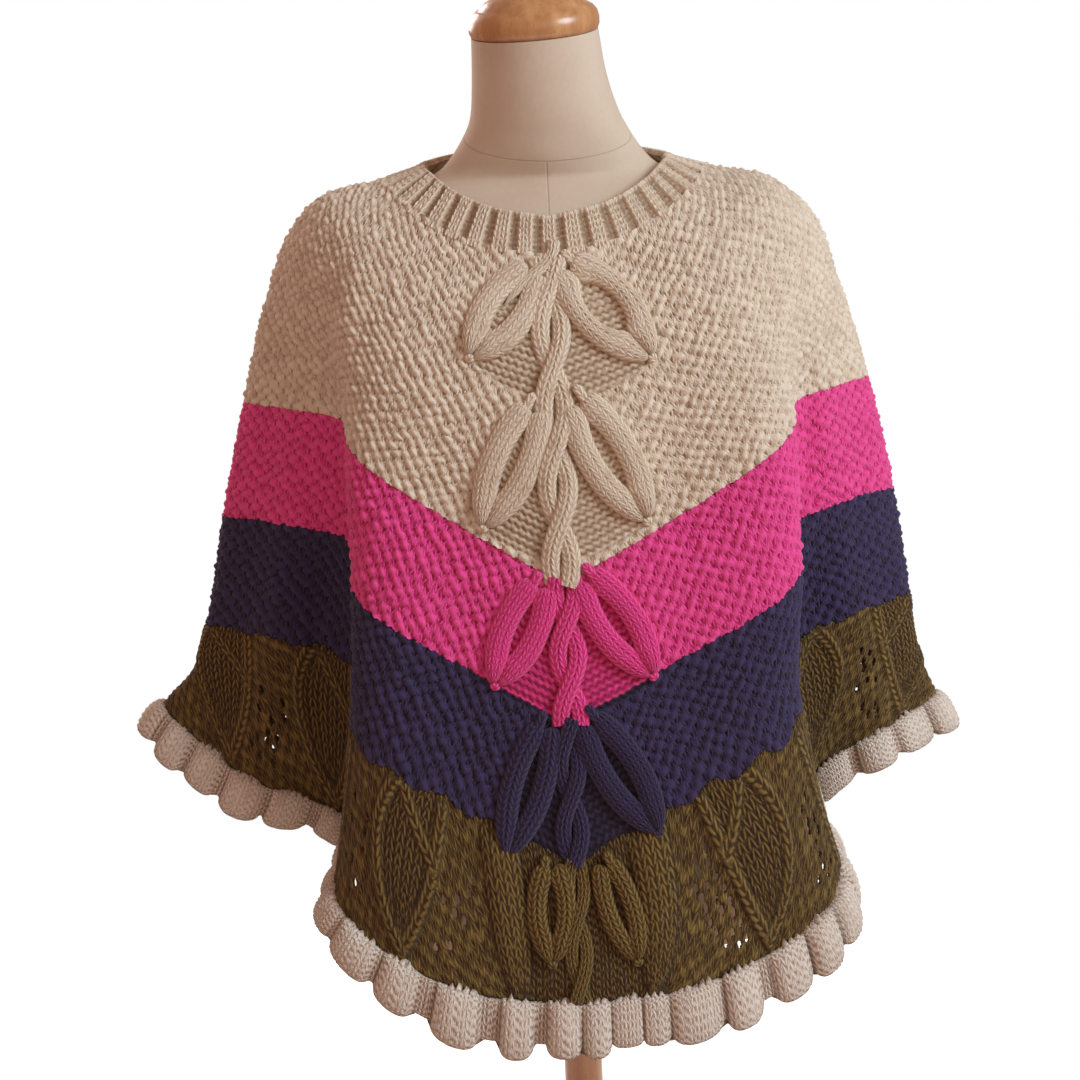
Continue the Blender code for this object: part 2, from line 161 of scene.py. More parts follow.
def clothNormals(u, v):
    du, dv = 0.01, 1.0
    above, below = np.clip(v - dv, 0, hemRow), np.clip(v + dv, 0, hemRow)
    sideways = clothPoints(u + du, v) - clothPoints(u - du, v)
    normal = np.cross(clothPoints(u, below) - clothPoints(u, above), sideways)
    return normal / np.linalg.norm(normal, axis=1, keepdims=True)


# soft folds that run down the cloth
# columns: station, top row, bottom row, half width in stations, lift mm, drift in stations
folds = (
    (-3.35, 330, 560, 0.22, -5, -0.15),
    (-3.9, 240, 595, 0.28, 5, -0.1),
    (-4.4, 300, 595, 0.25, -5, 0.1),
    (-2.6, 70, 260, 0.35, 4, 0.2),
    (-1.9, 120, 330, 0.35, -4, 0.2),
    (-1.15, 400, 595, 0.25, 4, -0.1),
    (-0.55, 430, 595, 0.2, -4, 0.0),
    (0.75, 440, 595, 0.22, 4, 0.1),
    (1.35, 400, 595, 0.25, -5, 0.1),
    (2.3, 90, 280, 0.3, -4, -0.2),
    (3.5, 180, 420, 0.25, 4, 0.1),
    (4.3, 330, 595, 0.3, -4, 0.1),
    (6.2, 260, 595, 0.3, 6, 0.1),
    (7.6, 300, 595, 0.4, -6, -0.1),
    (9.0, 330, 595, 0.4, 6, 0.1),
    (11.2, 280, 595, 0.45, -6, 0.1),
    (12.7, 320, 595, 0.4, 6, -0.1),
    (14.1, 280, 595, 0.3, -5, 0.1),
    (8.2, 90, 260, 0.4, 4, 0.2),
    (11.9, 110, 270, 0.4, 4, -0.2),
)


def foldLift(u, v):
    lift = np.zeros(np.shape(u))
    for station, top, bottom, half, high, drift in folds:
        part = np.clip((v - top) / (bottom - top), 0, 1)
        away = (u - station - drift * part + 10) % stationCount - 10
        ease = np.sin(part * math.pi / 2) ** 2 if bottom == hemRow else np.sin(part * math.pi) ** 2
        lift = lift + high * ease * np.exp(-((away / half) ** 2))
    return lift


def lifted(u, v, lift):
    u, v, lift = (a.ravel() for a in np.broadcast_arrays(u, v, lift))
    return clothPoints(u, v) + clothNormals(u, v) * (lift + foldLift(u, v))[:, None] * mm


def onFront(x, z):
    # station and row of a place on the front, found by steps
    u = x / 90
    v = np.interp(-z, [-shape[level][3][0] for level in ("neck", "hem")], (0, hemRow))
    for _ in range(30):
        at = clothPoints(u, v) / mm
        u = u + (x - at[:, 0]) / 90
        v = np.clip(v + 0.7 * (at[:, 2] - z), 0, hemRow)
    return u, v


# ---- materials


def hexColour(text):  # sRGB hex to linear
    parts = [int(text[k : k + 2], 16) / 255 for k in (0, 2, 4)]
    return tuple(c / 12.92 if c <= 0.04045 else ((c + 0.055) / 1.055) ** 2.4 for c in parts) + (1,)


def plug(node, inputs):  # a node given as a value stands for its first output
    for key, value in inputs.items():
        if isinstance(value, bpy.types.Node):
            value = value.outputs[0]
        if isinstance(value, bpy.types.NodeSocket):
            node.id_data.links.new(value, node.inputs[key])
        else:
            node.inputs[key].default_value = value


def addNode(tree, kind, *values, at=None, **settings):  # kind may carry an operation after a space
    kind, _, operation = kind.partition(" ")
    node = tree.nodes.new("ShaderNode" + kind)
    if operation:
        node.operation = operation
    for name, value in settings.items():
        setattr(node, name, value)
    plug(node, {**dict(enumerate(values)), **(at or {})})
    return node


def newMaterial(name):
    material = bpy.data.materials.new(name)
    material.use_nodes = True
    tree = material.node_tree
    return material, tree.nodes["Principled BSDF"], functools.partial(addNode, tree)


knit = {
    "stitchWide": 6.4,  # mm along a row
    "rowTall": 6.0,  # mm from row to row
    "slant": 1.2,  # rows that a leg's end drops over one stitch's width
    "crest": 0.41,  # a leg's place at its top, stitches from the middle
    "closing": 0.29,  # how far it has closed at its foot
    "legHalf": 0.19,  # half a leg's width, stitches
    "legMiddle": 0.18,  # rows from a stitch's middle to where its legs are counted from
    "purlWide": 4.3,
    "purlTall": 3.4,
    "purlDown": 0.15,  # rows that a bump hangs below its stitch's middle
    "purlHigh": 3.9,
    "purlStray": 2.2,  # mm between the places farthest apart that a bump may take
    "stray": (0.17, 0.20),  # stitches and rows that the knitting wanders from a straight grid
    "legHigh": 1.6,
    "sunk": -1.05,
    "tuck": 1.4,  # mm that the yoke goes under the neckband
    "edgeBite": 1.6,  # how far stitches of one colour reach into the next
    "scallopWide": 44.0,  # the eased edge between navy and olive
    "scallopDeep": 3.0,
    "scallopReach": 22.0,  # stitches from the centre over which it fades
    "wall": 4.0,
    "coarse": 4,  # cells of a panel's outer face to one of its inner face
}
# Hand-knitted wool, two plies loosely spun. The plies are drawn as short soft flecks of painted highlight, the
# hollows between stitches and legs get painted shade in the colour, and loose fibres give a matt surface with
# a pale sheen at the edges.
# columns: colour painted on lit crowns, middle colour, colour of painted shade in hollows, fleck colour and
# its share, sheen
wools = {
    "cream": ("E9DECB", "CFBA9E", "83644A", "A8876A", 0.42, 0.12),
    "pink": ("F657A5", "CF2771", "7A0E3E", "B82068", 0.20, 0.16),
    "navy": ("403761", "251A2C", "0F090F", "221C30", 0.20, 0.10),
    "olive": ("8B743C", "4A3517", "200E07", "3D2E18", 0.25, 0.06),
    "ruffle": ("EDE6DA", "CBBCAA", "80624F", "B2937F", 0.32, 0.12),
}


def dyedWool(yarn):
    light, middle, hollowShade, fleck, marl, sheen = wools[yarn]
    material, shader, add = newMaterial("hand knitted wool " + yarn)
    # the stitch attribute holds wale, row and a height that sets the painted shade
    wale, row, high = add("SeparateXYZ", add("Attribute", attribute_name="stitch").outputs["Vector"]).outputs
    # the two slanting legs of each stitch, side by side
    part = add("Math FRACT", add("Math ADD", wale, 0.5))
    fromMiddle = add("Math ABSOLUTE", add("Math SUBTRACT", part, 0.5))
    slanted = add("Math FRACT", add("Math MULTIPLY_ADD", fromMiddle, knit["slant"], row))
    along = add("Math MULTIPLY_ADD", slanted, 2.0, -1.0)
    crest = add("Math MULTIPLY_ADD", slanted, -knit["closing"], knit["crest"])
    aside = add("Math DIVIDE", add("Math SUBTRACT", fromMiddle, crest), knit["legHalf"])
    square = add("Math MULTIPLY", along, along)
    legAcross = add("Math SUBTRACT", 1.0, add("Math MULTIPLY", aside, aside), use_clamp=True)
    legAlong = add("Math SUBTRACT", 1.0, add("Math MULTIPLY", square, square))
    offPurl = add("MapRange", high, 0.7, 1.5, 1.0, 0.1)
    leg = add("Math MULTIPLY", add("Math MULTIPLY", legAcross, legAlong), offPurl)
    # a noise's values are place, w, scale, detail and roughness
    yarnPlace = add("CombineXYZ", add("Math MULTIPLY", wale, 6.8), add("Math MULTIPLY", row, 2.6), high)
    plies = add("TexNoise", yarnPlace, 0, 0.8, 2, 0.6)  # about 1 mm across and 2.5 mm long
    spun = add("TexNoise", yarnPlace, 0, 0.11, 3, 0.65)  # colour wanders along the yarn over 8 to 20 mm
    fibres = add("TexNoise", add("TexCoord").outputs["Object"], 0, 900, 2, 0.7)
    # painted shade and light: hollows between stitches and legs are painted dark, crowns painted light, from
    # the stitch height
    crown = add("MapRange", high, -2.1, 2.1, 0.0, 1.0, interpolation_type="SMOOTHSTEP")
    shade = add("Math MULTIPLY_ADD", leg, 0.36, add("Math MULTIPLY", crown, 0.85))
    # painted highlight: the plies lighten and darken the colour in short flecks
    shade = add("Math ADD", shade, add("Math MULTIPLY_ADD", plies, 0.5, -0.25), use_clamp=True)
    paintedShadeRamp = add("ValToRGB", shade)
    stops = paintedShadeRamp.color_ramp.elements
    stops.new(0.42)
    for stop, colour in zip(stops, (hollowShade, middle, light)):
        stop.color = hexColour(colour)
    flecked = add("MapRange", spun, 0.50, 0.68, 0.0, marl)
    colour = add("Mix", at={0: flecked, 6: paintedShadeRamp, 7: hexColour(fleck)}, data_type="RGBA").outputs[2]
    relief = add("Math MULTIPLY_ADD", leg, 0.55, add("Math MULTIPLY", plies, 0.55))
    relief = add("Math MULTIPLY_ADD", fibres, 0.18, relief)
    bump = add("Bump", at={"Height": relief, "Distance": 0.0011, "Strength": 0.8})
    plug(shader, {"Base Color": colour, "Normal": bump, "Roughness": 0.92, "Specular IOR Level": 0.25})
    plug(shader, {"Sheen Weight": sheen, "Sheen Roughness": 0.6})
    return material


# metres: the thread drawn, and the seam round the neck, where it leans, and the one down the front
linen = {"thread": 0.0009, "height": 0.879, "slope": 0.565, "lean": 0.026, "middle": 0.001, "half": 0.0009}


def linenCloth():
    # Unbleached linen pulled tight over a padded form: plain weave, matt, with thicker slubs here and there.
    # Real threads are 0.5 mm apart, drawn at 0.9 mm so that they show.
    material, shader, add = newMaterial("unbleached linen")
    place = add("TexCoord").outputs["Object"]
    threads = {"Vector": place, "Scale": math.pi / 10 / linen["thread"], "Distortion": 1.2}
    threads.update({"Detail": 1.0, "Detail Scale": 3.0})
    warp, weft = (add("TexWave", at=threads, bands_direction=axis).outputs["Fac"] for axis in "XZ")
    weave = add("Math MULTIPLY", warp, weft)
    slubs = add("TexNoise", place, 0, 260, 4, 0.7)
    cloudy = add("TexNoise", place, 0, 9, 3, 0.55)
    # sewn seams, 1.5 mm wide: round the base of the neck, and down the centre front below it
    x, y, _ = add("SeparateXYZ", place).outputs
    plane = add("VectorMath DOT_PRODUCT", place, (linen["lean"], -linen["slope"], 1.0)).outputs["Value"]
    above = add("Math SUBTRACT", plane, linen["height"])
    aside = add("Math SUBTRACT", x, linen["middle"])
    neckSeam, frontSeam = (
        add("MapRange", add("Math ABSOLUTE", off), 0.0002, linen["half"], 1.0, 0.0) for off in (above, aside)
    )
    lower = add("Math MULTIPLY", add("Math LESS_THAN", above, 0.0), add("Math LESS_THAN", y, -0.03))
    seam = add("Math MAXIMUM", neckSeam, add("Math MULTIPLY", frontSeam, lower))
    tone = add("Math MULTIPLY_ADD", slubs, 0.35, cloudy)
    tone = add("MapRange", add("Math MULTIPLY_ADD", weave, 0.10, tone), 0.35, 1.05, 0.0, 1.0)
    colour = add("Mix", at={0: tone, 6: hexColour("C8B59E"), 7: hexColour("DDD0BC")}, data_type="RGBA")
    inSeam = {0: add("Math MULTIPLY", seam, 0.4), 6: colour.outputs[2], 7: hexColour("A08467")}
    colour = add("Mix", at=inSeam, data_type="RGBA").outputs[2]
    relief = add("Math MULTIPLY_ADD", seam, -2.5, add("Math MULTIPLY_ADD", slubs, 0.5, weave))
    bump = add("Bump", at={"Height": relief, "Distance": 0.0002, "Strength": 0.5})
    plug(shader, {"Base Color": colour, "Normal": bump, "Roughness": 0.85})
    plug(shader, {"Sheen Weight": 0.08, "Sheen Roughness": 0.5})
    return material


def turnedBeech(grain, stretch):
    # Beech turned on a lathe and varnished: warm tan, fine straight grain with short dark pores,
    # and a soft gloss from the varnish.
    material, shader, add = newMaterial("varnished beech, grain " + grain)
    place = add("Mapping", at={"Vector": add("TexCoord").outputs["Object"], "Scale": stretch})
    pores = add("TexNoise", place, 0, 700, 2, 0.7)
    broad = add("ValToRGB", add("TexNoise", place, 0, 70, 4, 0.6))
    for stop, at, colour in zip(broad.color_ramp.elements, (0.30, 0.72), ("A86F3F", "D7A470")):
        stop.position, stop.color = at, hexColour(colour)
    flecks = add("MapRange", pores, 0.58, 0.70, 0.0, 0.35)
    colour = add("Mix", at={0: flecks, 6: broad, 7: hexColour("7E4A22")}, data_type="RGBA").outputs[2]
    bump = add("Bump", at={"Height": pores, "Distance": 0.0001, "Strength": 0.3})
    plug(shader, {"Base Color": colour, "Normal": bump, "Roughness": 0.34})
    plug(shader, {"Coat Weight": 0.35, "Coat Roughness": 0.2})
    return material


finishes = {yarn + "_wool": dyedWool(yarn) for yarn in wools}
finishes["linen"] = linenCloth()
beechCap = turnedBeech("upright", (1.0, 1.0, 0.12))
beechBase = turnedBeech("across", (0.12, 1.0, 1.0))
print("materials made:", len(bpy.data.materials))

# ---- camera, lights and floor

studio = {
    "cameraPlace": (-0.0175, -2.2, 0.7468),
    "cameraPitch": 84.5,
    "cameraRoll": -2.5,
    "lens": 88.41,
    "floorReach": 1.4,
    "floorGlow": 0.75,
    "ambient": ("FFCFBC", 0.44),
}
# columns: place, height that it aims at, size, power, colour
softLights = {
    "window": ((2.4, -1.6, 2.0), 0.5, 1.5, 79, "DEF2FF"),
    "frontFill": ((0.6, -3.2, 1.4), 0.45, 2.2, 7, "FFF0E4"),
    "backFill": ((-1.6, 2.6, 1.9), 0.5, 1.8, 52, "FFF8F2"),
}


def placed(name, data):
    thing = bpy.data.objects.new(name, data)
    bpy.context.scene.collection.objects.link(thing)
    return thing


def addCamera():
    data = bpy.data.cameras.new("camera")
    data.lens, data.sensor_width = studio["lens"], 36
    camera = placed("camera", data)
    pitch, roll = math.radians(studio["cameraPitch"]), math.radians(studio["cameraRoll"])
    turned = Matrix.Rotation(pitch, 4, "X") @ Matrix.Rotation(roll, 4, "Z")
    camera.matrix_world = Matrix.Translation(studio["cameraPlace"]) @ turned
    bpy.context.scene.camera = camera


def addSoftLights():
    for name, (place, aim, size, power, colour) in softLights.items():
        data = bpy.data.lights.new(name, "AREA")
        data.shape, data.size, data.energy = "DISK", size, power
        data.color = hexColour(colour)[:3]
        light = placed(name, data)
        light.location = place
        light.rotation_euler = (Vector((0, 0, aim)) - Vector(place)).to_track_quat("-Z", "Y").to_euler()


def addFloor():
    reach = studio["floorReach"]
    mesh = bpy.data.meshes.new("floor")
    corners = [(x * reach, y * reach, 0) for x, y in ((-1, -1), (1, -1), (1, 1), (-1, 1))]
    mesh.from_pydata(corners, [], [range(4)])
    floor = placed("floor", mesh)
    material, shader, add = newMaterial("pale studio paper")
    mesh.materials.append(material)
    away = add("VectorMath LENGTH", add("TexCoord").outputs["Object"]).outputs["Value"]
    fade = add("MapRange", away, reach * 0.55, reach * 0.98, 1.0, 0.0, interpolation_type="SMOOTHSTEP")
    plug(shader, {"Base Color": hexColour("FAFAFA"), "Roughness": 0.9, "Alpha": fade})
    plug(shader, {"Emission Color": (1, 1, 1, 1), "Emission Strength": studio["floorGlow"]})
    floor.visible_diffuse = False  # it doesn't throw its own light on the cloth
    floor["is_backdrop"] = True


def addSky():
    world = bpy.data.worlds.new("studio")
    bpy.context.scene.world = world
    world.use_nodes = True
    add = functools.partial(addNode, world.node_tree)
    colour, strength = studio["ambient"]
    ambient, white = add("Background", hexColour(colour), strength), add("Background", (1, 1, 1, 1), 1.0)
    seen = add("LightPath").outputs["Is Camera Ray"]
    plug(world.node_tree.nodes["World Output"], {0: add("MixShader", seen, ambient, white)})


addCamera()
addSoftLights()
addFloor()
addSky()
bpy.context.scene.view_settings.view_transform = "Standard"
print("camera, lights and floor set")

# ---- small helpers


def hashed(a, b=0.0, seed=0.0):  # an even spread of 0 to 1 for whole numbers
    return np.mod(np.sin(a * 12.9898 + b * 78.233 + seed * 37.719) * 43758.5453, 1.0)


def ripple(a, b, seed=0.0):  # smooth unevenness, about -1 to 1
    waves = np.sin(a * 0.61 + b * 0.37 + seed) + np.sin(a * -0.43 + b * 0.83 + seed * 2.1)
    return (waves + np.sin(a * 1.31 - b * 0.29 + seed * 3.7)) / 3


def smooth(x, low, high):
    t = np.clip((x - low) / (high - low), 0, 1)
    return t * t * (3 - 2 * t)


def alongLine(points):  # distance along a line of points from its start
    steps = np.linalg.norm(np.diff(points, axis=0), axis=1)
    return np.concatenate(([0], np.cumsum(steps)))


def gridFaces(tall, wide, first=0, closedWide=False, flip=False):
    j = np.arange(tall - 1)[:, None]
    i = np.arange(wide if closedWide else wide - 1)[None, :]
    a = first + j * wide + i
    right = first + j * wide + (i + 1) % wide
    faces = np.stack((a, a + wide, right + wide, right), axis=2).reshape(-1, 4)
    return faces[:, ::-1] if flip else faces


def endCaps(count, around):  # the two end faces of a tube of rings
    ring = np.arange(around)
    return np.stack((ring[::-1], ring + (count - 1) * around))


madePieces = {}


def addPiece(node, ending, slot, points, groups, stitch=None, sharp=70):
    # groups are arrays of faces; all faces of an array have the same number of corners
    mesh = bpy.data.meshes.new(node)
    mesh.vertices.add(len(points))
    mesh.vertices.foreach_set("co", np.ascontiguousarray(points, dtype=np.float32).ravel())
    sizes = np.concatenate([np.full(len(g), g.shape[1]) for g in groups])
    corners = np.concatenate([g.ravel() for g in groups]).astype(np.int32)
    mesh.loops.add(len(corners))
    mesh.loops.foreach_set("vertex_index", corners)
    mesh.polygons.add(len(sizes))
    mesh.polygons.foreach_set("loop_start", np.concatenate(([0], np.cumsum(sizes)[:-1])).astype(np.int32))
    mesh.update(calc_edges=True)
    mesh.validate()
    if stitch is not None:
        attribute = mesh.attributes.new("stitch", "FLOAT_VECTOR", "POINT")
        attribute.data.foreach_set("vector", np.ascontiguousarray(stitch, dtype=np.float32).ravel())
    mesh.shade_smooth()
    mesh.set_sharp_from_angle(angle=math.radians(sharp))
    mesh.materials.append(finishes[slot])
    piece = madePieces[node] = placed(f"{node}_{ending}", mesh)
    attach(piece, "root")
    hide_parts(node)
    return piece


# ---- knitted panels


def columnsOf(middle, row, count):
    # stations across a half, evenly spaced along that row
    sides = []
    for side in (-1, 1):
        fine = middle + side * np.linspace(0, 5, 400)
        run = alongLine(clothPoints(fine, np.full(400, float(row))))
        sides.append(np.interp(np.linspace(0, run[-1] - seamGap / 2 * mm, count // 2 + 1), run, fine))
    left, right = sides
    return np.concatenate((left[:0:-1], right))


def centreGain(middle):
    # how far along the row a stitch has moved from the centre, where new ones are made
    rows = np.arange(0, hemRow + 1, 2.0)
    gains = {}
    for side in (-1, 1):
        start, end = (clothPoints(np.full(len(rows), middle + side * out), rows) for out in (0.0, 0.3))
        step = end - start
        slope = step[:, 2] / np.hypot(step[:, 0], step[:, 1])
        gains[side] = np.concatenate(([0], np.cumsum((slope[1:] + slope[:-1]) / 2 * np.diff(rows))))
    return rows, gains


gainOf = {middle: centreGain(middle) for _, middle in halves}


def runOf(points):
    # mm from the centre along each row of a grid
    step = np.linalg.norm(np.diff(points, axis=1), axis=2) / mm
    run = np.concatenate((np.zeros((len(points), 1)), np.cumsum(step, axis=1)), axis=1)
    centre = points.shape[1] // 2
    return run - run[:, centre : centre + 1]


def waleOf(run, v, middle):
    # stitches from the centre along each row of a grid
    rows, gains = gainOf[middle]
    gain = np.where(run < 0, np.interp(v, rows, gains[-1]), np.interp(v, rows, gains[1]))
    return (np.abs(run) - gain) / knit["stitchWide"]


def knitLegs(wale, row):
    # the two legs of each knit stitch, which close towards its foot: 1 on their crests, 0 where they meet
    aside = np.abs(wale - np.round(wale))
    along = np.mod(row + knit["slant"] * aside, 1)
    crest = knit["crest"] - knit["closing"] * along
    return np.clip(1 - ((aside - crest) / knit["legHalf"]) ** 2, 0, 1) ** 0.7 * (1 - (2 * along - 1) ** 4)


def mossRelief(wale, row, seed):
    # moss stitch: each purl bump has knit stitches above, below and beside it
    strayWide, strayTall = knit["stray"]
    i = wale + strayWide * ripple(wale, row, seed) + 0.10 * ripple(row * 2.3, wale * 1.7, seed + 9)
    k = row + strayTall * ripple(wale, row, seed + 5) + 0.10 * ripple(wale * 2.1, row * 1.9, seed + 3)
    p, q = (i + k) / 2, (i - k) / 2
    nearP, nearQ = np.round(p), np.round(q)
    size, aside, up, lean = (hashed(nearP, nearQ, seed + number) for number in range(4))
    bumpX = (p - nearP + q - nearQ) * knit["stitchWide"] + knit["purlStray"] * (aside - 0.5)
    bumpY = (p - nearP - q + nearQ - knit["purlDown"]) * knit["rowTall"] + knit["purlStray"] * (up - 0.5)
    bumpY = bumpY + 0.6 * (lean - 0.3) * bumpX
    spread = (bumpX / knit["purlWide"]) ** 2 + (bumpY / knit["purlTall"]) ** 2
    purl = (0.5 + 0.6 * size) * np.exp(-(spread**1.5))
    uneven = 1 + 0.6 * (hashed(np.round(i * 2), np.round(k * 2), seed + 3) - 0.5)
    drawn = k + knit["legMiddle"]
    legs = knitLegs(i, drawn) * uneven
    lift = knit["purlHigh"] * purl + knit["legHigh"] * legs * np.clip(1 - 1.2 * purl, 0, 1) + knit["sunk"]
    return lift, i, drawn


def plainRelief(wale, row, seed):
    # smooth knit side: columns of V shapes
    return 1.9 * knitLegs(wale + 0.05 * ripple(row, wale, seed), row + 0.1 * ripple(wale, row, seed)) - 1.1


def reverseRelief(wale, row, seed):
    # purl side: close ridges across, each a chain of small bumps
    bend = 0.16 * np.sin(2 * math.pi * wale) + 0.06 * ripple(wale * 2, row, seed)
    ridge = np.cos(2 * math.pi * (row + bend))
    return 0.95 * ridge + 0.35 * np.cos(2 * math.pi * (wale + 0.5 * np.floor(row + 0.5))) - 0.3


def zigzag(wale, side, level):
    # the uneven edge where one colour stops and the next starts
    bite = np.abs(wale - np.round(wale)) * 2 - 0.5
    edge = knit["edgeBite"] * (bite + 0.9 * (hashed(np.round(wale) * side, level) - 0.5))
    if level == levels["olive"]:
        turn = 2 * math.pi * wale * knit["stitchWide"] / knit["scallopWide"]
        near = 0.25 + 0.75 * np.exp(-((wale / knit["scallopReach"]) ** 2))
        edge = edge + knit["scallopDeep"] * near * np.sin(turn + side)
    return edge


def panelGrid(middle, top, bottom, tall, wide):
    # stations and rows of a panel's grid, with the uneven colour edges worked in
    first, last = levels[top] + seamGap / 2, levels[bottom] - seamGap / 2
    if top == "band":
        first -= knit["tuck"]
    u, v = np.meshgrid(columnsOf(middle, levels[bottom], wide - 1), np.linspace(first, last, tall))
    run = runOf(clothPoints(u.ravel(), v.ravel()).reshape(tall, wide, 3))
    wale, side = waleOf(run, v, middle), np.sign(run)
    for level, edge in ((top, 0), (bottom, -1)):
        if level in ("pink", "navy", "olive"):
            bite = zigzag(wale[edge], side[edge], levels[level])
            v = v + bite * np.exp(-np.abs(v - v[edge]) / 4)
    return u, v, run, wale


def shellFaces(tall, wide):
    # a fine outer face, a coarse inner face and a rim between them
    step = knit["coarse"]
    low, narrow = (tall - 1) // step + 1, (wide - 1) // step + 1
    fine = np.arange(tall * wide).reshape(tall, wide)
    rough = tall * wide + np.arange(low * narrow).reshape(low, narrow)
    groups = [gridFaces(tall, wide), gridFaces(low, narrow, tall * wide, flip=True)]
    for edge, turned in ((np.s_[0], False), (np.s_[-1], True), (np.s_[:, 0], True), (np.s_[:, -1], False)):
        outer, inner = fine[edge], rough[edge]
        k = np.arange(len(inner) - 1)
        between = (outer[k * step + part] for part in range(step))
        rim = np.column_stack((outer[(k + 1) * step], inner[k + 1], inner[k], *between))
        groups.append(np.roll(rim[:, ::-1], 1, axis=1) if turned else rim)
    return groups


def addKnit(node, yarn, u, v, lift, innerLift, stitch, innerRow=hemRow, innerShadeHigh=1):
    # a knitted wall: stitches in relief outside, a smooth coarser face inside
    coarse = (slice(None, None, knit["coarse"]),) * 2
    innerLift = np.broadcast_to(innerLift, u.shape)[coarse]
    inner = lifted(u[coarse], np.minimum(v[coarse], innerRow), innerLift)
    points = np.concatenate((lifted(u, v, lift), inner))
    stitch = np.stack(stitch, axis=2)
    # the inner face's height for the painted shade is scaled by this, to nothing on the panels
    innerStitch = stitch[coarse] * (1, 1, innerShadeHigh)
    stitches = np.concatenate((stitch.reshape(-1, 3), innerStitch.reshape(-1, 3)))
    addPiece(node, "knit", yarn + "_wool", points, shellFaces(*u.shape), stitches)


# the leaves' places on the centre front, mm: root, tip, half width and half width of the slit
leaves = {
    "leaf_cream_upper_left": (-13, 757, -64, 694, 23.5, 5.8),
    "leaf_cream_upper_right": (11, 760, 74, 688, 25.5, 12.0),
    "leaf_cream_lower_left": (-17, 652, -60, 563, 22.5, 4.6),
    "leaf_cream_lower_right": (15, 656, 65, 563, 23.5, 6.2),
    "leaf_pink_left": (-18, 516, -56, 440, 21, 4.4),
    "leaf_pink_right": (16, 520, 65, 442, 22, 5.4),
    "leaf_navy_left": (-19, 406, -53, 307, 19.5, 4.4),
    "leaf_navy_right": (14, 409, 64, 320, 21.5, 5.0),
    "leaf_olive_left": (-20, 297, -22, 222, 18.5, 4.8),
    "leaf_olive_right": (22, 297, 44, 221, 16, 3.6),
}
nextRoots = {"upper": 651, "lower": 530, "pink": 410, "navy": 297}  # mm, height of the next pair


def purlGround(points):
    # share of plain purl ground, below each leaf as far as the stem, and in the leaf's own slit
    x, z = points[..., 0] / mm, points[..., 2] / mm
    share = np.zeros(x.shape)
    for name, (rootX, rootZ, tipX, tipZ, half, _) in leaves.items():
        part = name.split("_")[-2]
        if part not in nextRoots:
            continue
        length = math.hypot(tipX - rootX, tipZ - rootZ)
        alongX, alongZ = (tipX - rootX) / length, (tipZ - rootZ) / length
        along = (x - rootX) * alongX + (z - rootZ) * alongZ
        aside = np.abs((x - rootX) * alongZ - (z - rootZ) * alongX)
        slit = smooth(along, 2, 8) * smooth(length - along, 2, 8) * smooth(half * 0.75 - aside, -2, 2)
        out = x * np.sign(tipX)
        reach = abs(tipX)
        edge = rootZ + (tipZ - rootZ) * np.clip(out / reach, 0, 1)  # the leaf's own line
        floor = nextRoots[part] + (tipZ - 6 - nextRoots[part]) * np.clip(out / reach, 0, 1) ** 1.5
        inside = smooth(z, floor - 2, floor + 2) * smooth(edge - z, -2, 2)
        below = inside * smooth(reach - out, -1, 3) * (out > 0)
        share = np.maximum(np.maximum(share, below), slit)
    return share


def panelRelief(u, v, wale, row, side, seed, atFront):
    lift, i, k = mossRelief(wale, row, seed + side)
    if not atFront:
        return lift, i, k
    near = np.abs(u) < 1.2  # stations that the stem and leaves keep within
    points = np.zeros((*u.shape, 3))
    points[near] = clothPoints(u[near], v[near])
    share = np.where(near, purlGround(points), 0)
    plain = share > 0.5  # no legs are drawn on the purl side
    i = np.where(plain, np.floor(i) + 0.5, i)
    k = np.where(plain, np.floor(row * 2) / 2 + 0.99, k)
    return lift * (1 - share) + reverseRelief(wale, row * 0.96, seed) * share, i, k


# columns: upper and lower level, yarn, share of the usual row height, grid of the front and of the back
panels = {
    "yoke": ("band", "pink", "cream", 1.0, (157, 457), (85, 273)),
    "pink_band": ("pink", "navy", "pink", 0.90, (61, 529), (33, 321)),
    "navy_band": ("navy", "olive", "navy", 0.93, (61, 569), (33, 345)),
}
for number, (name, (top, bottom, yarn, rowShare, *grids)) in enumerate(panels.items()):
    for (side, middle), grid in zip(halves, grids):
        u, v, run, wale = panelGrid(middle, top, bottom, *grid)
        row = v / (knit["rowTall"] * rowShare)
        atFront = side == "front"
        seed = number * 3.0 + (0 if atFront else 1)
        lift, stitchWale, stitchRow = panelRelief(u, v, wale, row, np.sign(run), seed, atFront)
        # the stitch height sets the wool's painted shade: hollows painted dark, purl bumps painted light
        stitch = stitchWale, stitchRow, lift
        addKnit(f"{name}_{side}", yarn, u, v, lift, -knit["wall"], stitch, innerShadeHigh=0)
    print("knitted:", name)

# ---- neckband, two by two rib

neckband = {
    "ribsAHalf": 20,
    "ribShare": 0.30,  # half a rib as a share of the spacing
    "ribHigh": 2.2,
    "ribReach": 6.0,
    "valley": -0.9,
    "wall": 4.6,
    "edgeRound": 2.2,
    "front": (33, 513),
    "back": (25, 273),
}


